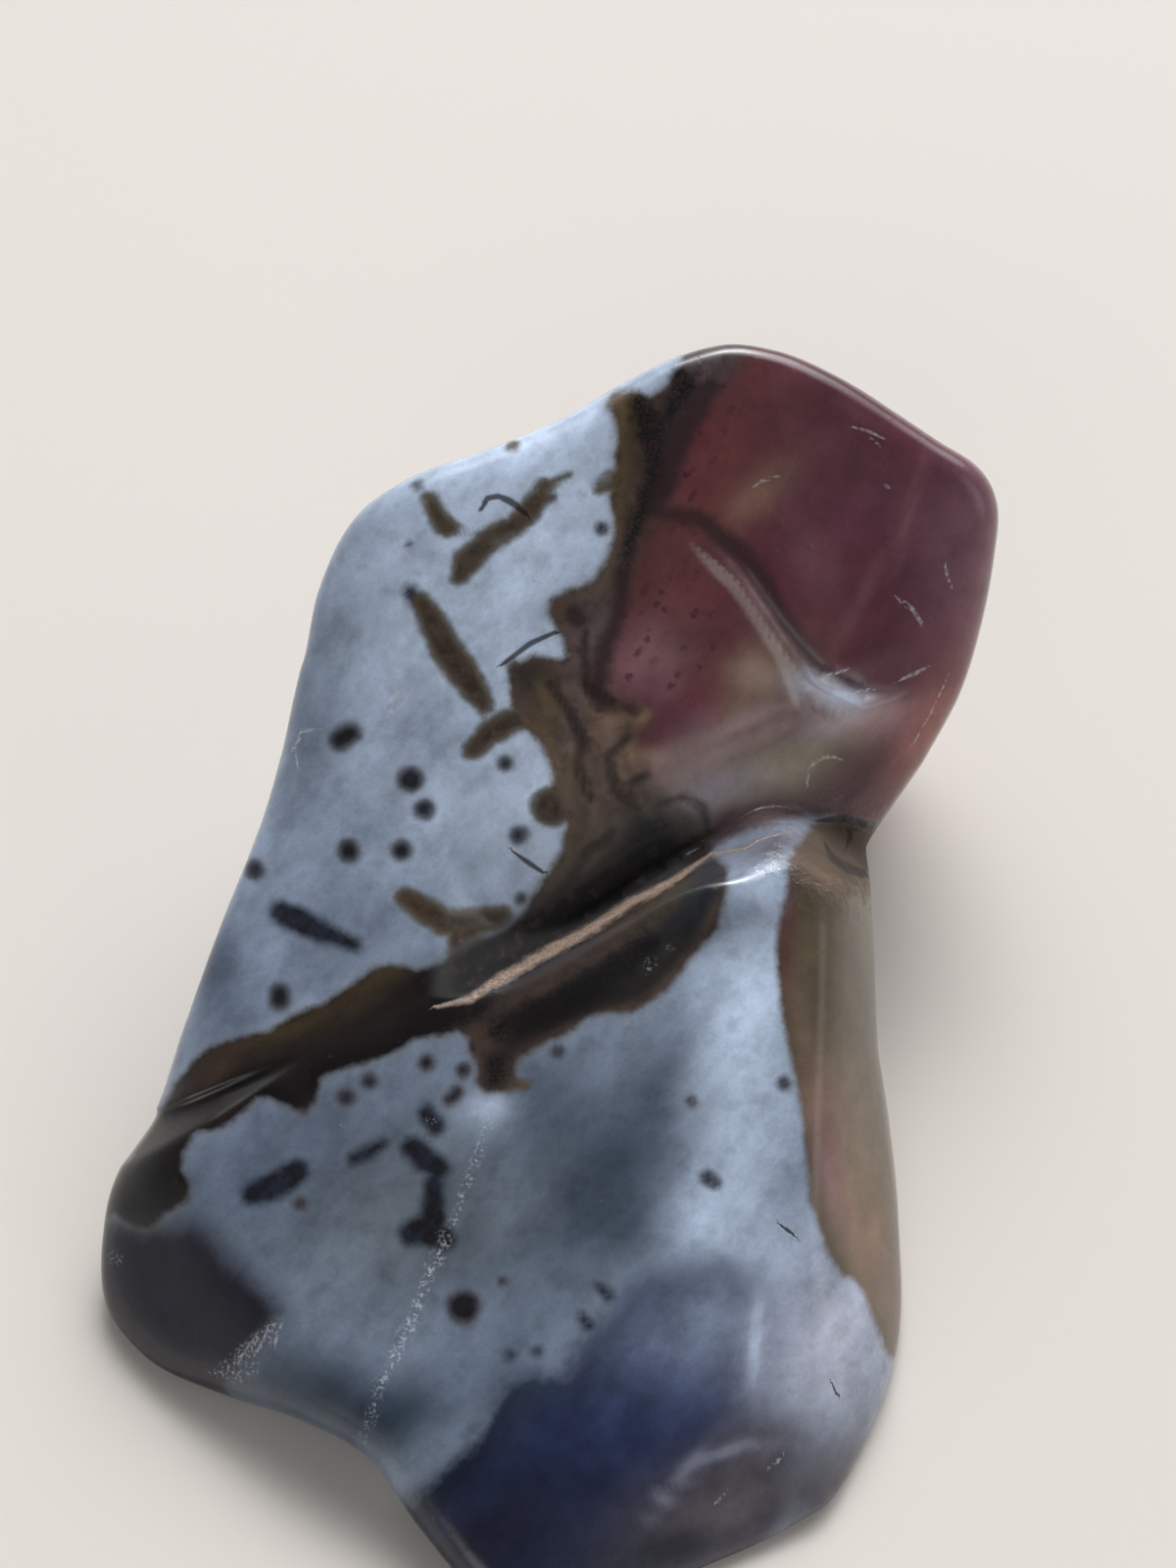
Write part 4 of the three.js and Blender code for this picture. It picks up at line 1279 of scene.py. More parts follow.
class Layer(Enum):
    """Fields and colours that the skin carries for its finish, by the names of their attributes."""

    VEIN = "vein"
    STREAK = "streak"
    DARK_STREAK = "dark_streak"
    SPOT = "spot"
    CORE = "core"
    RED = "red"
    WALL = "wall"
    NAVY = "navy"
    PLUM = "plum"
    DOTTED = "dotted"
    STEP = "step"
    CHIP = "chip"
    SEAM_AND_SHADE = "seam_and_shade"
    LOOP = "loop"
    SPARKS = "sparks"
    PALE_SIDE = "pale_side"
    PALE_REACH = "pale_reach"
    DARK_SIDE = "dark_side"
    DARK_REACH = "dark_reach"
    CRACK_SIDE = "crack_side"
    CRACK_REACH = "crack_reach"
    GROUND_COLOUR = "ground_colour"
    RED_COLOUR = "red_colour"
    WALL_COLOUR = "wall_colour"
    NAVY_COLOUR = "navy_colour"
    VEIN_COLOUR = "vein_colour"

SHAPES = {
    Layer.STREAK: STREAKS,
    Layer.DARK_STREAK: DARK_STREAKS,
    Layer.SPOT: SPOTS,
    Layer.CORE: CORES,
    Layer.RED: RED_ZONE,
    Layer.WALL: WALL_ZONE,
    Layer.NAVY: NAVY_ZONE,
    Layer.PLUM: PLUM_ZONE,
    Layer.SEAM_AND_SHADE: SEAMS_AND_SHADE,
    Layer.LOOP: LOOPS,
    Layer.SPARKS: SPARKS,
}
LINES = {
    (Layer.PALE_SIDE, Layer.PALE_REACH): PALE_LINES,
    (Layer.DARK_SIDE, Layer.DARK_REACH): DARK_LINES,
    (Layer.CRACK_SIDE, Layer.CRACK_REACH): CRACK_LINE,
}
WASHES = {
    Layer.GROUND_COLOUR: GROUND_WASH,
    Layer.RED_COLOUR: RED_WASH,
    Layer.WALL_COLOUR: WALL_WASH,
    Layer.NAVY_COLOUR: NAVY_WASH,
    Layer.VEIN_COLOUR: VEIN_WASH,
}


@dataclass(frozen=True)
class Markings:
    """Jasper markings of the stone, worked out at each corner of its skin."""

    scatter: Scatter = Scatter()
    dotted: tuple[Cloud, Cloud] = (
        Cloud((3.5, 7.2), (2.4, 4.6), -12.0, Tint.BLACK, 1.0),
        Cloud((4.5, 15.7), (1.8, 5.0), -22.0, Tint.BLACK, 1.0),
    )
    chip: Cloud = Cloud((10.7, -2.9), (2.3, 1.9), -20.0, Tint.BLACK, 1.0)
    step_ends: tuple[Rise, Rise] = (Rise(-8.5, 5.0), Rise(2.5, 3.0))
    step_across: tuple[Rise, Rise] = (Rise(-0.2, 0.5), Rise(1.2, 1.6))

    def on_step(self, form: StoneForm, skin: Array) -> Array:
        """How surely a corner lies on the broken step behind the lip.

        Args:
            form: The stone's form.
            skin: The corners over the leaning face.

        Returns:
            The product of smooth steps up and down along the lip and across it.
        """
        past = form.past_lip(skin[:, 0], skin[:, 1])
        along = self.step_ends[0].at(skin[:, 0]) * (1.0 - self.step_ends[1].at(skin[:, 0]))
        return along * self.step_across[0].at(past) * (1.0 - self.step_across[1].at(past))

    def fields(self, form: StoneForm, sight: Sight, skin: Array) -> dict[Layer, Array]:
        """Fields of every marking at the corners of the skin.

        Args:
            form: The stone's form.
            sight: Where the corners lie in the sight.
            skin: The corners over the leaning face.

        Returns:
            How far inside each kind of marking, in millimetres, the shares of the step, the chip and the
            dotted parts, and the thin lines' own distances.
        """
        fields = {layer: shapes.inside(sight) for layer, shapes in SHAPES.items()}
        zones = [zone.inside(sight) for zone in (VEIN_MASS, LEFT_BAND, LIP_BAND)]
        fields[Layer.VEIN] = np.max([*zones, self.scatter.inside(sight, skin)], axis=0)
        fields[Layer.DOTTED] = np.max([cloud.share(sight) for cloud in self.dotted], axis=0)
        fields[Layer.STEP] = self.on_step(form, skin)
        fields[Layer.CHIP] = self.chip.share(sight)
        for (side, reach), lines in LINES.items():
            fields[side], fields[reach] = lines.across(sight)
        return fields

    def washes(self, sight: Sight) -> dict[Layer, Array]:
        """Soft colours of each zone, in linear light."""
        return {layer: wash.colours(sight) for layer, wash in WASHES.items()}


@dataclass(frozen=True)
class Noise:
    """Cloudy noise: its lumps in a millimetre, its octaves and how much each finer octave counts."""

    scale: float
    detail: float
    roughness: float = 0.5


@dataclass(frozen=True)
class Edge:
    """How a field becomes a share of a colour: it wanders with a noise, then steps up between two values."""

    outer: float
    inner: float
    most: float = 1.0
    wander: float = 0.0


class Graph:
    """Node tree of a material or a world, built socket by socket."""

    def __init__(self, owner: bpy.types.Material | bpy.types.World) -> None:
        """Start with an empty tree.

        Args:
            owner: The material or world whose nodes these are.
        """
        owner.use_nodes = True
        self.tree = owner.node_tree
        self.tree.nodes.clear()

    def add(self, kind: str, **settings: object) -> bpy.types.Node:
        """New node.

        Args:
            kind: Its type's name.
            settings: Its attributes and their values.

        Returns:
            The node.
        """
        node = self.tree.nodes.new(kind)
        for name, value in settings.items():
            setattr(node, name, value)
        return node

    def feed(self, socket: Socket, value: object) -> None:
        """Link another node's socket to this one, or set its constant.

        Args:
            socket: The socket to feed.
            value: The other socket, or the constant.
        """
        if isinstance(value, Socket):
            self.tree.links.new(value, socket)
        else:
            socket.default_value = value

    def fed(self, node: bpy.types.Node, *values: object) -> bpy.types.Node:
        """Feed a node's first sockets in order.

        Args:
            node: The node.
            values: Sockets to link or constants to set.

        Returns:
            The same node.
        """
        for socket, value in zip(node.inputs, values):
            self.feed(socket, value)
        return node

    def value_of(self, layer: Layer) -> Socket:
        """Number that the skin carries."""
        return self.add("ShaderNodeAttribute", attribute_name=layer.value).outputs["Fac"]

    def colour_of(self, layer: Layer) -> Socket:
        """Colour that the skin carries."""
        return self.add("ShaderNodeAttribute", attribute_name=layer.value).outputs["Color"]

    def math(self, operation: str, *values: object) -> Socket:
        """Sum, difference or other operation on numbers."""
        return self.fed(self.add("ShaderNodeMath", operation=operation), *values).outputs[0]

    def times(self, *values: object) -> Socket:
        """Product of two numbers or shares."""
        return self.math("MULTIPLY", *values)

    def most(self, first: object, *others: object) -> Socket:
        """Largest of some numbers.

        Args:
            first: A socket or a constant.
            others: The others.

        Returns:
            The socket that carries the largest.
        """
        for other in others:
            first = self.math("MAXIMUM", first, other)
        return first

    def vector(self, operation: str, *values: object) -> bpy.types.Node:
        """Operation on vectors; its node, because some give a number and some a vector."""
        return self.fed(self.add("ShaderNodeVectorMath", operation=operation), *values)

    def spread(self, value: object, low: float, high: float, start: float, end: float) -> Socket:
        """Value carried evenly from one range to another, and held there."""
        node = self.add("ShaderNodeMapRange", clamp=True)
        return self.fed(node, value, low, high, start, end).outputs["Result"]

    def step(self, value: object, low: float, high: float, most: float = 1.0) -> Socket:
        """Smooth step from 0 to the most between two values."""
        node = self.add("ShaderNodeMapRange", clamp=True, interpolation_type="SMOOTHSTEP")
        return self.fed(node, value, low, high, 0.0, most).outputs["Result"]

    def mix(self, share: object, under: object, over: object, blend: str = "MIX") -> Socket:
        """Colour laid over another; a tint stands for its own colour.

        Args:
            share: How much of the upper colour shows.
            under: Colour below.
            over: Colour above.
            blend: How the two mix.

        Returns:
            The mixed colour.
        """
        node = self.add("ShaderNodeMix", data_type="RGBA", blend_type=blend, clamp_factor=True)
        self.feed(node.inputs["Factor"], share)
        for socket, colour in ((node.inputs[6], under), (node.inputs[7], over)):
            self.feed(socket, colour.rgba() if isinstance(colour, Tint) else colour)
        return node.outputs[2]

    def noise(self, place: object, noise: Noise) -> Socket:
        """Cloudy noise at a place.

        Args:
            place: The place's socket.
            noise: Its size and octaves.

        Returns:
            A number, 0 to 1.
        """
        node = self.add("ShaderNodeTexNoise")
        self.feed(node.inputs["Vector"], place)
        node.inputs["Scale"].default_value = noise.scale
        node.inputs["Detail"].default_value = noise.detail
        node.inputs["Roughness"].default_value = noise.roughness
        return node.outputs["Fac"]

    def cells(self, place: object, scale: float) -> Socket:
        """Scattered points.

        Args:
            place: The place's socket.
            scale: How many points lie along a millimetre.

        Returns:
            The distance to the nearest of them.
        """
        node = self.add("ShaderNodeTexVoronoi")
        self.feed(node.inputs["Vector"], place)
        node.inputs["Scale"].default_value = scale
        return node.outputs["Distance"]

    def place(self, stretch: Triple = (1.0, 1.0, 1.0), turn: float = 0.0) -> Socket:
        """Place on the object in millimetres.

        Args:
            stretch: How long a pattern is drawn out along each axis.
            turn: Its turn about z, in degrees.

        Returns:
            The place, turned, then shrunk by the stretch.
        """
        node = self.add("ShaderNodeMapping", vector_type="TEXTURE")
        self.feed(node.inputs["Vector"], self.add("ShaderNodeTexCoord").outputs["Object"])
        node.inputs["Rotation"].default_value = (0.0, 0.0, math.radians(turn))
        node.inputs["Scale"].default_value = tuple(part * MM for part in stretch)
        return node.outputs["Vector"]

    def bump(self, height: object, relief: Pair, under: object = None) -> Socket:
        """Normal of a small relief, over another relief's normal where one is given.

        Args:
            height: The relief, about 0 to 1.
            relief: Its height in millimetres and its strength.
            under: Normal of the relief below it.

        Returns:
            The normal.
        """
        node = self.add("ShaderNodeBump")
        node.inputs["Distance"].default_value = relief[0] * MM
        node.inputs["Strength"].default_value = relief[1]
        self.feed(node.inputs["Height"], height)
        if under is not None:
            self.feed(node.inputs["Normal"], under)
        return node.outputs["Normal"]

    def finish(self, output: str, surface: Socket) -> None:
        """Link the last shader to the output of a material or a world."""
        self.feed(self.add(output).inputs["Surface"], surface)


class StoneGraph(Graph):
    """Nodes of the stone's finish, with the noises of different fineness that its parts share."""

    broad: Pair = (0.3, 0.7)

    def __init__(self, owner: bpy.types.Material) -> None:
        """Lay the noises over the stone.

        Args:
            owner: The stone's material.
        """
        super().__init__(owner)
        self.where = self.place()
        self.cloud = self.noise(self.place((1.5, 0.8, 1.0), 52.0), Noise(0.33, 5.0, 0.6))
        self.patch = self.noise(self.where, Noise(0.75, 4.0, 0.6))
        self.fine = self.noise(self.where, Noise(1.7, 5.0, 0.62))
        self.speck = self.noise(self.where, Noise(7.0, 3.0, 0.6))

    def moved(self, layer: Layer, noise: object, reach: float) -> Socket:
        """Field of a layer with its edge moved in and out by a noise, by up to half the reach."""
        return self.math("ADD", self.value_of(layer), self.times(self.math("SUBTRACT", noise, 0.5), reach))

    def share(self, layer: Layer, edge: Edge, noise: object = None) -> Socket:
        """Share of a marking.

        Args:
            layer: The marking's field.
            edge: Where its share starts, ends and how far it wanders.
            noise: What it wanders with, or the fine noise where none is given.

        Returns:
            The share, 0 to its most.
        """
        if edge.wander == 0.0:
            return self.step(self.value_of(layer), edge.outer, edge.inner, edge.most)
        moved = self.moved(layer, self.fine if noise is None else noise, edge.wander)
        return self.step(moved, edge.outer, edge.inner, edge.most)

    def line(self, side: Layer, reach: Layer, across: Edge, near: Edge) -> Socket:
        """Share of a group of thin lines.

        Args:
            side: Layer of the signed distance.
            reach: Layer of how near a line is at all.
            across: Edge of the distance in half-widths.
            near: Edge of the reach.

        Returns:
            The product of the two shares.
        """
        far = self.math("ABSOLUTE", self.value_of(side))
        if across.wander > 0.0:
            far = self.math("ADD", far, self.spread(self.fine, *self.broad, -across.wander, across.wander))
        return self.times(self.step(far, across.outer, across.inner), self.share(reach, near))

    def shaded(self, colour: object, shade: object) -> Socket:
        """Colour times a grey."""
        grey = self.fed(self.add("ShaderNodeCombineColor"), shade, shade, shade)
        return self.mix(1.0, colour, grey.outputs["Color"], "MULTIPLY")


@dataclass(frozen=True)
class Damage:
    """Shares of the stone's damage and fine marks, the painted glints among the nicks and the painted shade
    of the step.
    """

    hairline: Socket
    nick_and_glint: Socket
    rim: Socket
    step: Socket
    chip: Socket


@dataclass(frozen=True)
class PolishedJasper:
    """Tumble-polished jasper: the washes of its zones, veins, spots and fine marks over them, a wet gloss.

    An Edge is the outer and inner value of a marking's field, its most and its wander. Three numbers are
    the low and high value of a noise and the most of its share. A range is only such a low and high
    value, and two shares are what the noise gives there. Two shades are how much darker and lighter a
    noise makes a place, and a relief is its height in millimetres and its strength.
    """

    ior: float = 1.54
    roughness: float = 0.12
    worn_roughness: float = 0.45
    matte_roughness: float = 0.9
    cloud_shades: Pair = (0.20, 0.18)
    patch_shades: Pair = (0.15, 0.14)
    speck_shade: float = 0.08
    speck_range: Pair = (0.2, 0.8)
    middle: Pair = (0.4, 0.6)
    thinning: Pair = (0.38, 0.6)
    deep_mottling: float = 1.5
    vein_mottling: float = 1.1
    green_step: Triple = (0.50, 0.75, 0.45)
    green_depth: float = 0.75
    plum: Edge = Edge(-1.1, 1.0, 1.0, 2.4)
    navy: Edge = Edge(-0.8, 0.6, 1.0, 3.0)
    fringe: Edge = Edge(-0.5, 0.0, 0.3, 0.42)
    spot_edge: Edge = Edge(-0.30, 0.10, 0.75, 0.3)
    spot_core: Edge = Edge(-0.12, 0.32, 0.92, 0.3)
    spot_range: Pair = (0.42, 0.58)
    dark_streak: Edge = Edge(-0.34, 0.26, 0.95, 0.35)
    streak_halo: Edge = Edge(-0.30, 0.06, 0.9, 0.4)
    streak_body: Edge = Edge(-0.02, 0.26, 0.85, 0.4)
    streak_dark: Edge = Edge(0.05, 0.45, 1.0, 0.4)
    streak_shares: Pair = (0.75, 0.1)
    red_edge: Edge = Edge(-0.30, 0.30, 1.0, 0.42)
    wall_edge: Edge = Edge(-0.20, 0.25, 1.0, 0.42)
    vein_crisp: Edge = Edge(-0.24, 0.16, 1.0, 0.42)
    vein_faded: Edge = Edge(-0.4, 0.6, 1.0, 0.42)
    deep_red: Edge = Edge(-0.1, 0.5)
    band_wander: float = 1.8
    band_turns: float = 6.0
    band_shades: Pair = (0.86, 1.12)
    clots: Triple = (0.50, 0.72, 0.35)
    core: Edge = Edge(-0.45, 0.35, 1.0, 0.7)
    core_shares: Pair = (0.95, 0.65)
    seam_and_shade: Edge = Edge(-0.42, 0.22, 0.85, 0.5)
    loop: Edge = Edge(-0.26, 0.14, 0.75, 0.4)
    dots_scale: float = 1.35
    dots_edge: Pair = (0.34, 0.12)
    dot_shares: Pair = (0.2, 0.75)
    dotted_part: Edge = Edge(0.15, 0.6)
    line_across: Edge = Edge(1.5, 0.5)
    line_near: Edge = Edge(-0.30, -0.15)
    rim_across: Edge = Edge(1.9, 0.2, 1.0, 0.5)
    rim_range: Pair = (0.35, 0.65)
    hairline_strength: float = 0.85
    nick_noise: Noise = Noise(4.5, 2.0)
    nick_strength: float = 0.42
    scuff_noise: Noise = Noise(6.5, 4.0, 0.7)
    scuff_step: Triple = (0.50, 0.64, 0.5)
    scuff_band: Edge = Edge(-0.28, 0.22, 1.0, 0.6)
    step_edge: Edge = Edge(0.0, 0.8)
    step_strength: float = 0.95
    step_range: Pair = (0.50, 0.74)
    chip_edge: Edge = Edge(0.05, 0.75, 1.0, 0.8)
    worn_grain: Triple = (0.60, 0.8, 0.3)
    worn_nick: float = 0.7
    worn_vein: Edge = Edge(0.0, 0.8, 0.3)
    wave_noise: Noise = Noise(0.22, 2.0)
    wave_relief: Pair = (0.35, 0.25)
    rough_relief: Pair = (0.22, 0.6)
    cut_relief: Pair = (0.03, 0.6)
    grain_relief: Pair = (0.02, 0.12)

    def material(self) -> bpy.types.Material:
        """Build the finish.

        Returns:
            The material, which reads the skin's attributes and its place.
        """
        material = bpy.data.materials.new("polished_jasper")
        graph = StoneGraph(material)
        colour = self.ground(graph)
        for lay in (self.spotted, self.streaked, self.zoned, self.veined, self.seamed_and_shaded):
            colour = lay(graph, colour)
        damage = self.damage(graph)
        shader = graph.add("ShaderNodeBsdfPrincipled")
        graph.feed(shader.inputs["Base Color"], self.damaged(graph, colour, damage))
        shader.inputs["IOR"].default_value = self.ior
        graph.feed(shader.inputs["Roughness"], self.gloss(graph, damage))
        graph.feed(shader.inputs["Normal"], self.relief(graph, damage))
        graph.finish("ShaderNodeOutputMaterial", shader.outputs["BSDF"])
        return material

    def mottled(self, graph: StoneGraph, colour: object, deep: float = 1.0) -> Socket:
        """Wash with cloudy lighter and darker places, blots and a fine grain.

        Args:
            graph: The material's nodes.
            colour: The wash.
            deep: How much of the mottling it gets.

        Returns:
            The wash times the product of the noises' shades.
        """
        shade = graph.spread(graph.speck, *self.speck_range, 1.0 - self.speck_shade, 1.0 + self.speck_shade)
        for noise, (dark, light) in ((graph.cloud, self.cloud_shades), (graph.patch, self.patch_shades)):
            cloudy = graph.spread(noise, *graph.broad, 1.0 - dark * deep, 1.0 + light * deep)
            shade = graph.times(shade, cloudy)
        return graph.shaded(colour, shade)

    def ground(self, graph: StoneGraph) -> Socket:
        """Grey-blue ground with greenish places, and the plum and dark blue ends that fade into it.

        Args:
            graph: The material's nodes.

        Returns:
            The ground's colour.
        """
        colour = self.mottled(graph, graph.colour_of(Layer.GROUND_COLOUR), self.deep_mottling)
        greener = graph.mix(self.green_depth, Tint.GREEN_GREY, colour, "MULTIPLY")
        colour = graph.mix(graph.step(graph.patch, *self.green_step), colour, greener)
        plum = self.mottled(graph, Tint.PLUM, self.deep_mottling)
        colour = graph.mix(graph.share(Layer.PLUM, self.plum, graph.cloud), colour, plum)
        inside = graph.moved(Layer.NAVY, graph.cloud, self.navy.wander)
        inside = graph.math("ADD", graph.math("SUBTRACT", graph.patch, 0.5), inside)
        navy = self.mottled(graph, graph.colour_of(Layer.NAVY_COLOUR), self.deep_mottling)
        colour = graph.mix(graph.step(inside, self.navy.outer, self.navy.inner), colour, navy)
        return graph.mix(graph.share(Layer.VEIN, self.fringe), colour, Tint.OLIVE_GREY)

    def spotted(self, graph: StoneGraph, colour: Socket) -> Socket:
        """Round spots, dark with a soft brownish edge, and the dark blue-black streaks.

        Args:
            graph: The material's nodes.
            colour: Colour below.

        Returns:
            The colour with the spots and dark streaks on it.
        """
        colour = graph.mix(graph.share(Layer.SPOT, self.spot_edge), colour, Tint.UMBER_GREY)
        core = graph.mix(graph.step(graph.patch, *self.spot_range), Tint.BLACK, Tint.INK)
        colour = graph.mix(graph.share(Layer.SPOT, self.spot_core), colour, core)
        streak = graph.mix(graph.step(graph.fine, *self.middle), Tint.INK, Tint.BLACK)
        return graph.mix(graph.share(Layer.DARK_STREAK, self.dark_streak), colour, streak)

    def streaked(self, graph: StoneGraph, colour: Socket) -> Socket:
        """Brown streaks: a soft olive edge, brown inside it and a dark line along the middle.

        Args:
            graph: The material's nodes.
            colour: Colour below.

        Returns:
            The colour with the brown streaks on it.
        """
        colour = graph.mix(graph.share(Layer.STREAK, self.streak_halo), colour, Tint.OLIVE_BROWN)
        colour = graph.mix(graph.share(Layer.STREAK, self.streak_body), colour, Tint.BARK)
        dark = graph.share(Layer.STREAK, self.streak_dark)
        dark = graph.times(dark, graph.spread(graph.fine, *self.thinning, *self.streak_shares))
        return graph.mix(dark, colour, Tint.DARK_BROWN)

    def zoned(self, graph: StoneGraph, colour: Socket) -> Socket:
        """Red head, and the olive and tan right wall.

        Args:
            graph: The material's nodes.
            colour: Colour below.

        Returns:
            The colour with the two zones on it.
        """
        red = self.mottled(graph, graph.colour_of(Layer.RED_COLOUR))
        colour = graph.mix(graph.share(Layer.RED, self.red_edge), colour, red)
        wall = self.mottled(graph, graph.colour_of(Layer.WALL_COLOUR))
        return graph.mix(graph.share(Layer.WALL, self.wall_edge), colour, wall)

    def veined(self, graph: StoneGraph, colour: Socket) -> Socket:
        """Brown veins softly banded along their edges, with dark clots and black cores inside.

        Args:
            graph: The material's nodes.
            colour: Colour below.

        Returns:
            The colour with the veins on it.
        """
        body = self.mottled(graph, graph.colour_of(Layer.VEIN_COLOUR), self.vein_mottling)
        turns = graph.times(graph.moved(Layer.VEIN, graph.patch, self.band_wander), self.band_turns)
        body = graph.shaded(body, graph.spread(graph.math("SINE", turns), -1.0, 1.0, *self.band_shades))
        body = graph.mix(graph.step(graph.fine, *self.clots), body, Tint.DARK_BROWN)
        core = graph.share(Layer.CORE, self.core)
        core = graph.times(core, graph.spread(graph.speck, *self.middle, *self.core_shares))
        body = graph.mix(core, body, Tint.BLACK)
        crisp = graph.share(Layer.VEIN, self.vein_crisp)
        faded = graph.share(Layer.VEIN, self.vein_faded)
        in_red = graph.share(Layer.RED, self.deep_red)
        return graph.mix(graph.spread(in_red, 0.0, 1.0, crisp, faded), colour, body)

    def seamed_and_shaded(self, graph: StoneGraph, colour: Socket) -> Socket:
        """Soft dark seams of the head, the one along the crest partly painted shade, small dark dots in its
        dotted parts, and the loops of the vein.

        Args:
            graph: The material's nodes.
            colour: Colour below.

        Returns:
            The colour with the seams, dots and loops on it.
        """
        colour = graph.mix(graph.share(Layer.SEAM_AND_SHADE, self.seam_and_shade), colour, Tint.SEAM_AND_SHADE_BROWN)
        loose = graph.vector("ADD", graph.where, graph.spread(graph.fine, 0.0, 1.0, -0.5, 0.5))
        dots = graph.step(graph.cells(loose.outputs["Vector"], self.dots_scale), *self.dots_edge)
        dots = graph.times(dots, graph.spread(graph.patch, *self.thinning, *self.dot_shares))
        dots = graph.times(dots, graph.share(Layer.DOTTED, self.dotted_part))
        colour = graph.mix(dots, colour, Tint.DOT)
        return graph.mix(graph.share(Layer.LOOP, self.loop), colour, Tint.DARK_BROWN)

    def damage(self, graph: StoneGraph) -> Damage:
        """Find the hairlines, the nicks with the painted glints and scuffed specks, the crack's rim, the
        step and the chip.

        Args:
            graph: The material's nodes.

        Returns:
            Their shares.
        """
        hairline = graph.line(Layer.DARK_SIDE, Layer.DARK_REACH, self.line_across, self.line_near)
        nick_and_glint = graph.line(Layer.PALE_SIDE, Layer.PALE_REACH, self.line_across, self.line_near)
        broken = graph.noise(graph.where, self.nick_noise)
        broken = graph.spread(broken, *self.middle, 0.0, self.nick_strength)
        scuff = graph.step(graph.noise(graph.where, self.scuff_noise), *self.scuff_step)
        scuff = graph.times(scuff, graph.share(Layer.SPARKS, self.scuff_band))
        rim = graph.line(Layer.CRACK_SIDE, Layer.CRACK_REACH, self.rim_across, self.line_near)
        step = graph.share(Layer.STEP, self.step_edge)
        chip = graph.share(Layer.CHIP, self.chip_edge)
        return Damage(hairline, graph.most(graph.times(nick_and_glint, broken), scuff), rim, step, chip)

    def damaged(self, graph: StoneGraph, colour: Socket, damage: Damage) -> Socket:
        """Lay the fine marks and painted glints, the step's black, partly dark broken stone and partly
        painted shade of the hollow, and the crack's tan rim over the colour.

        Args:
            graph: The material's nodes.
            colour: Colour below.
            damage: The marks' shares.

        Returns:
            The finished colour.
        """
        hairline = graph.times(damage.hairline, self.hairline_strength)
        colour = graph.mix(hairline, colour, Tint.DARK_BROWN)
        # White nicks and scuffs, and the painted glints and highlight line
        colour = graph.mix(damage.nick_and_glint, colour, Tint.WHITE)
        # The step behind the lip: dark broken stone and painted shade of the hollow
        broken = graph.mix(graph.step(graph.fine, *self.step_range), Tint.BLACK, Tint.PURPLE_BROWN)
        colour = graph.mix(graph.times(damage.step, self.step_strength), colour, broken)
        rim = graph.mix(graph.step(graph.speck, *self.rim_range), Tint.FAWN, Tint.CREAM)
        return graph.mix(damage.rim, colour, rim)

    def gloss(self, graph: StoneGraph, damage: Damage) -> Socket:
        """Roughness: polished, worn at the rim, the nicks and painted glints and the veins, and matte on the
        step and chip.

        Args:
            graph: The material's nodes.
            damage: The marks' shares.

        Returns:
            The roughness, 0 to 1.
        """
        grain = graph.step(graph.fine, *self.worn_grain)
        nick_and_glint = graph.times(damage.nick_and_glint, self.worn_nick)
        worn = graph.most(damage.rim, grain, nick_and_glint, graph.share(Layer.VEIN, self.worn_vein))
        rough = graph.spread(worn, 0.0, 1.0, self.roughness, self.worn_roughness)
        return graph.most(rough, graph.times(graph.most(damage.step, damage.chip), self.matte_roughness))

    def relief(self, graph: StoneGraph, damage: Damage) -> Socket:
        """Relief of the polish's faint waves, the rough chip and rim, the cut marks and the grain.

        Args:
            graph: The material's nodes.
            damage: The marks' shares.

        Returns:
            The normal.
        """
        relief = graph.bump(graph.noise(graph.where, self.wave_noise), self.wave_relief)
        rough = graph.times(graph.fine, graph.most(damage.chip, damage.rim))
        relief = graph.bump(rough, self.rough_relief, relief)
        cut = graph.times(graph.most(damage.nick_and_glint, damage.hairline), -1.0)
        relief = graph.bump(cut, self.cut_relief, relief)
        return graph.bump(graph.speck, self.grain_relief, relief)


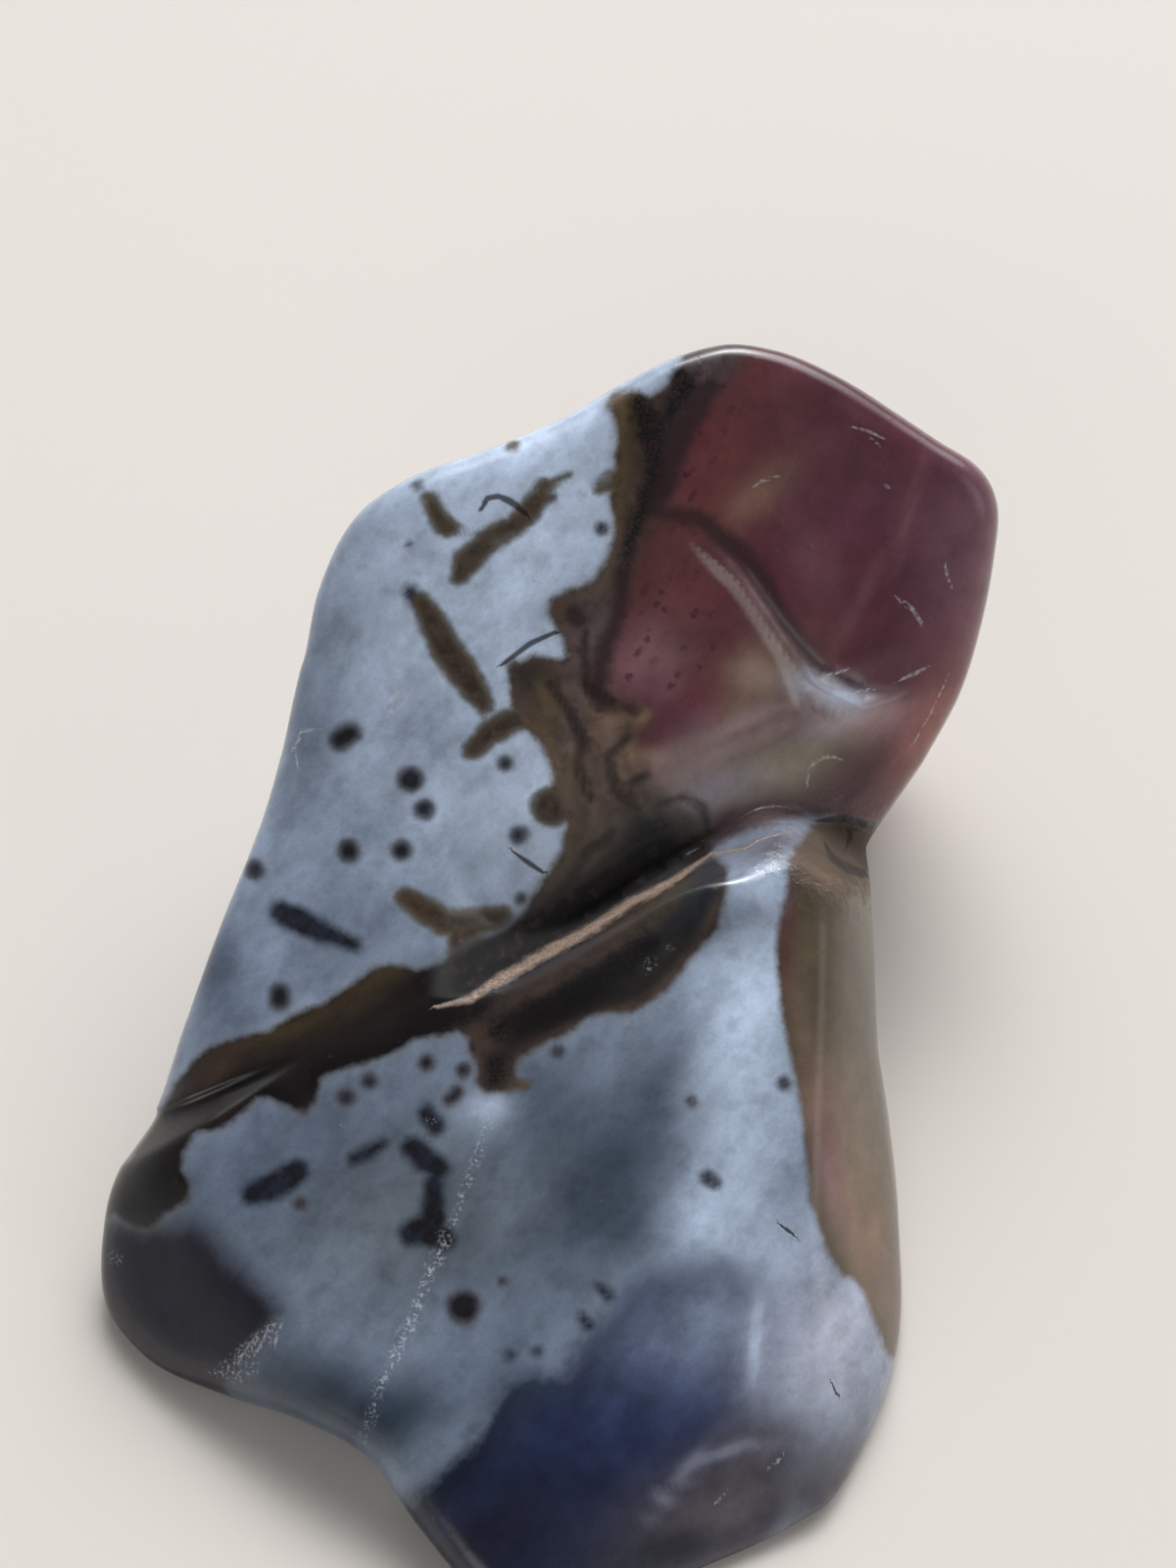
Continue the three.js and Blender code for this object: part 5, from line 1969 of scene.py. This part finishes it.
@dataclass
class Stone:
    """The whole stone: its form, skin and markings, made into one piece and dressed."""

    form: StoneForm = field(default_factory=StoneForm)
    markings: Markings = field(default_factory=Markings)
    finish: PolishedJasper = field(default_factory=PolishedJasper)
    middle: Array = field(default_factory=lambda: np.zeros(3))

    def build(self) -> bpy.types.Object:
        """Make the stone's mesh with its attributes, and give it its finish.

        Returns:
            The object, at the origin, with its place in its mesh.
        """
        skin, quads = StoneSkin(self.form).build()
        points = self.form.face.place(*skin.T)
        points[np.abs(points[:, 2]) < StoneSkin().foot_snap, 2] = 0.0
        self.middle = (points.min(axis=0) + points.max(axis=0)) / 2.0
        self.middle[2] = 0.0
        mesh = bpy.data.meshes.new("tumbled_stone")
        mesh.from_pydata(((points - self.middle) * MM), [], quads)
        mesh.polygons.foreach_set("use_smooth", np.ones(len(quads), dtype=bool))
        self.mark(mesh, skin)
        mesh.update()
        stone = bpy.data.objects.new("tumbled_stone", mesh)
        bpy.context.scene.collection.objects.link(stone)
        mesh.materials.append(self.finish.material())
        LOG.info("stone: %d corners, %d faces", len(points), len(quads))
        return stone

    def mark(self, mesh: bpy.types.Mesh, skin: Array) -> None:
        """Write the markings' fields and colours on the mesh as attributes.

        Args:
            mesh: The stone's mesh.
            skin: Its corners over the leaning face, in the same order.
        """
        sight = EYE.sight(self.form, skin)
        for layer, values in self.markings.fields(self.form, sight, skin).items():
            attribute = mesh.attributes.new(layer.value, "FLOAT", "POINT")
            attribute.data.foreach_set("value", values.astype(np.float32))
        for layer, colours in self.markings.washes(sight).items():
            attribute = mesh.attributes.new(layer.value, "FLOAT_COLOR", "POINT")
            full = np.ones((len(colours), 4), dtype=np.float32)
            full[:, :3] = colours
            attribute.data.foreach_set("color", full.ravel())


@dataclass(frozen=True)
class Glow:
    """Bright part of the studio's sky, soft all round, like a wide screen with a lamp behind it."""

    towards: Triple
    reach: Triple
    strength: float
    colour: Triple
    softness: float = 0.15

    def light(self, graph: Graph, direction: Socket) -> Socket:
        """Its light in a direction: all of it in its middle, none past its reach.

        Args:
            graph: The sky's nodes.
            direction: The direction's socket.

        Returns:
            Its colour times its strength there.
        """
        way = graph.vector("SUBTRACT", direction, self.towards).outputs["Vector"]
        far = graph.vector("LENGTH", graph.vector("DIVIDE", way, self.reach).outputs["Vector"])
        node = graph.vector("SCALE", self.colour)
        share = graph.step(far.outputs["Value"], 1.0, self.softness, self.strength)
        graph.feed(node.inputs["Scale"], share)
        return node.outputs["Vector"]


@dataclass(frozen=True)
class Studio:
    """Plain pale floor, soft light from the sky and the camera at the photograph's angle."""

    floor_reach: float = 2.0
    floor_colour: Triple = (0.78, 0.72, 0.65)
    floor_roughness: float = 0.7
    sky: Triple = (0.05, 0.055, 0.065)
    lens: float = 54.0
    film: float = 36.0
    nearest: float = 0.005
    pitch: float = 50.0
    glows: tuple[Glow, ...] = (
        Glow((0.22, 0.72, 0.62), (0.80, 0.58, 0.48), 5.5, (0.95, 0.97, 1.0)),
        Glow((0.05, 0.76, 0.65), (0.36, 0.24, 0.22), 12.0, (0.97, 0.98, 1.0)),
        Glow((0.0, 0.0, -0.25), (1.6, 1.6, 1.3), 1.6, (0.95, 0.97, 1.0)),
        Glow((-0.25, -0.86, 0.34), (0.75, 0.5, 0.36), 1.7, (1.0, 0.98, 0.96)),
        Glow((0.80, -0.16, 0.58), (0.40, 0.36, 0.36), 0.9, (0.95, 0.95, 1.0)),
    )

    def build(self, face_height: float, middle: Array) -> bpy.types.Object:
        """Make the floor, the sky and the camera.

        Args:
            face_height: Height of the middle of the stone's face.
            middle: How far the stone was moved to stand on its box's middle.

        Returns:
            The floor, which isn't part of the object.
        """
        scene = bpy.context.scene
        scene.view_settings.view_transform = "Standard"
        scene.world = self.lit_sky()
        camera = bpy.data.objects.new("camera", bpy.data.cameras.new("camera"))
        camera.data.lens = self.lens
        camera.data.sensor_width = self.film
        camera.data.clip_start = self.nearest
        pitch = math.radians(self.pitch)
        camera.location = (
            -middle[0] * MM,
            (-EYE.distance * math.cos(pitch) - middle[1]) * MM,
            (face_height + EYE.distance * math.sin(pitch)) * MM,
        )
        camera.rotation_euler = (math.radians(90.0) - pitch, 0.0, 0.0)
        scene.collection.objects.link(camera)
        scene.camera = camera
        return self.floor()

    def lit_sky(self) -> bpy.types.World:
        """Dark sky with the glows added to it.

        Returns:
            The world.
        """
        world = bpy.data.worlds.new("studio")
        graph = Graph(world)
        direction = graph.add("ShaderNodeTexCoord").outputs["Generated"]
        light = self.sky
        for glow in self.glows:
            light = graph.vector("ADD", glow.light(graph, direction), light).outputs["Vector"]
        sky = graph.fed(graph.add("ShaderNodeBackground"), light)
        graph.finish("ShaderNodeOutputWorld", sky.outputs["Background"])
        return world

    def floor(self) -> bpy.types.Object:
        """Flat pale floor at the stone's foot, four corners at the reach.

        Returns:
            The floor.
        """
        reach = self.floor_reach
        corners = [(-reach, -reach, 0.0), (reach, -reach, 0.0), (reach, reach, 0.0), (-reach, reach, 0.0)]
        mesh = bpy.data.meshes.new("floor")
        mesh.from_pydata(corners, [], [(0, 1, 2, 3)])
        material = bpy.data.materials.new("pale_floor")
        graph = Graph(material)
        shader = graph.add("ShaderNodeBsdfPrincipled")
        shader.inputs["Base Color"].default_value = (*self.floor_colour, 1.0)
        shader.inputs["Roughness"].default_value = self.floor_roughness
        graph.finish("ShaderNodeOutputMaterial", shader.outputs["BSDF"])
        mesh.materials.append(material)
        floor = bpy.data.objects.new("floor", mesh)
        bpy.context.scene.collection.objects.link(floor)
        return floor


def main() -> None:
    """Build the stone and the studio."""
    logging.basicConfig(level=logging.INFO)
    stone = Stone()
    piece = stone.build()
    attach(piece, "root")
    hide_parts("jasper_stone")
    Studio().build(stone.form.face.height, stone.middle)


if __name__ == "__main__":
    main()
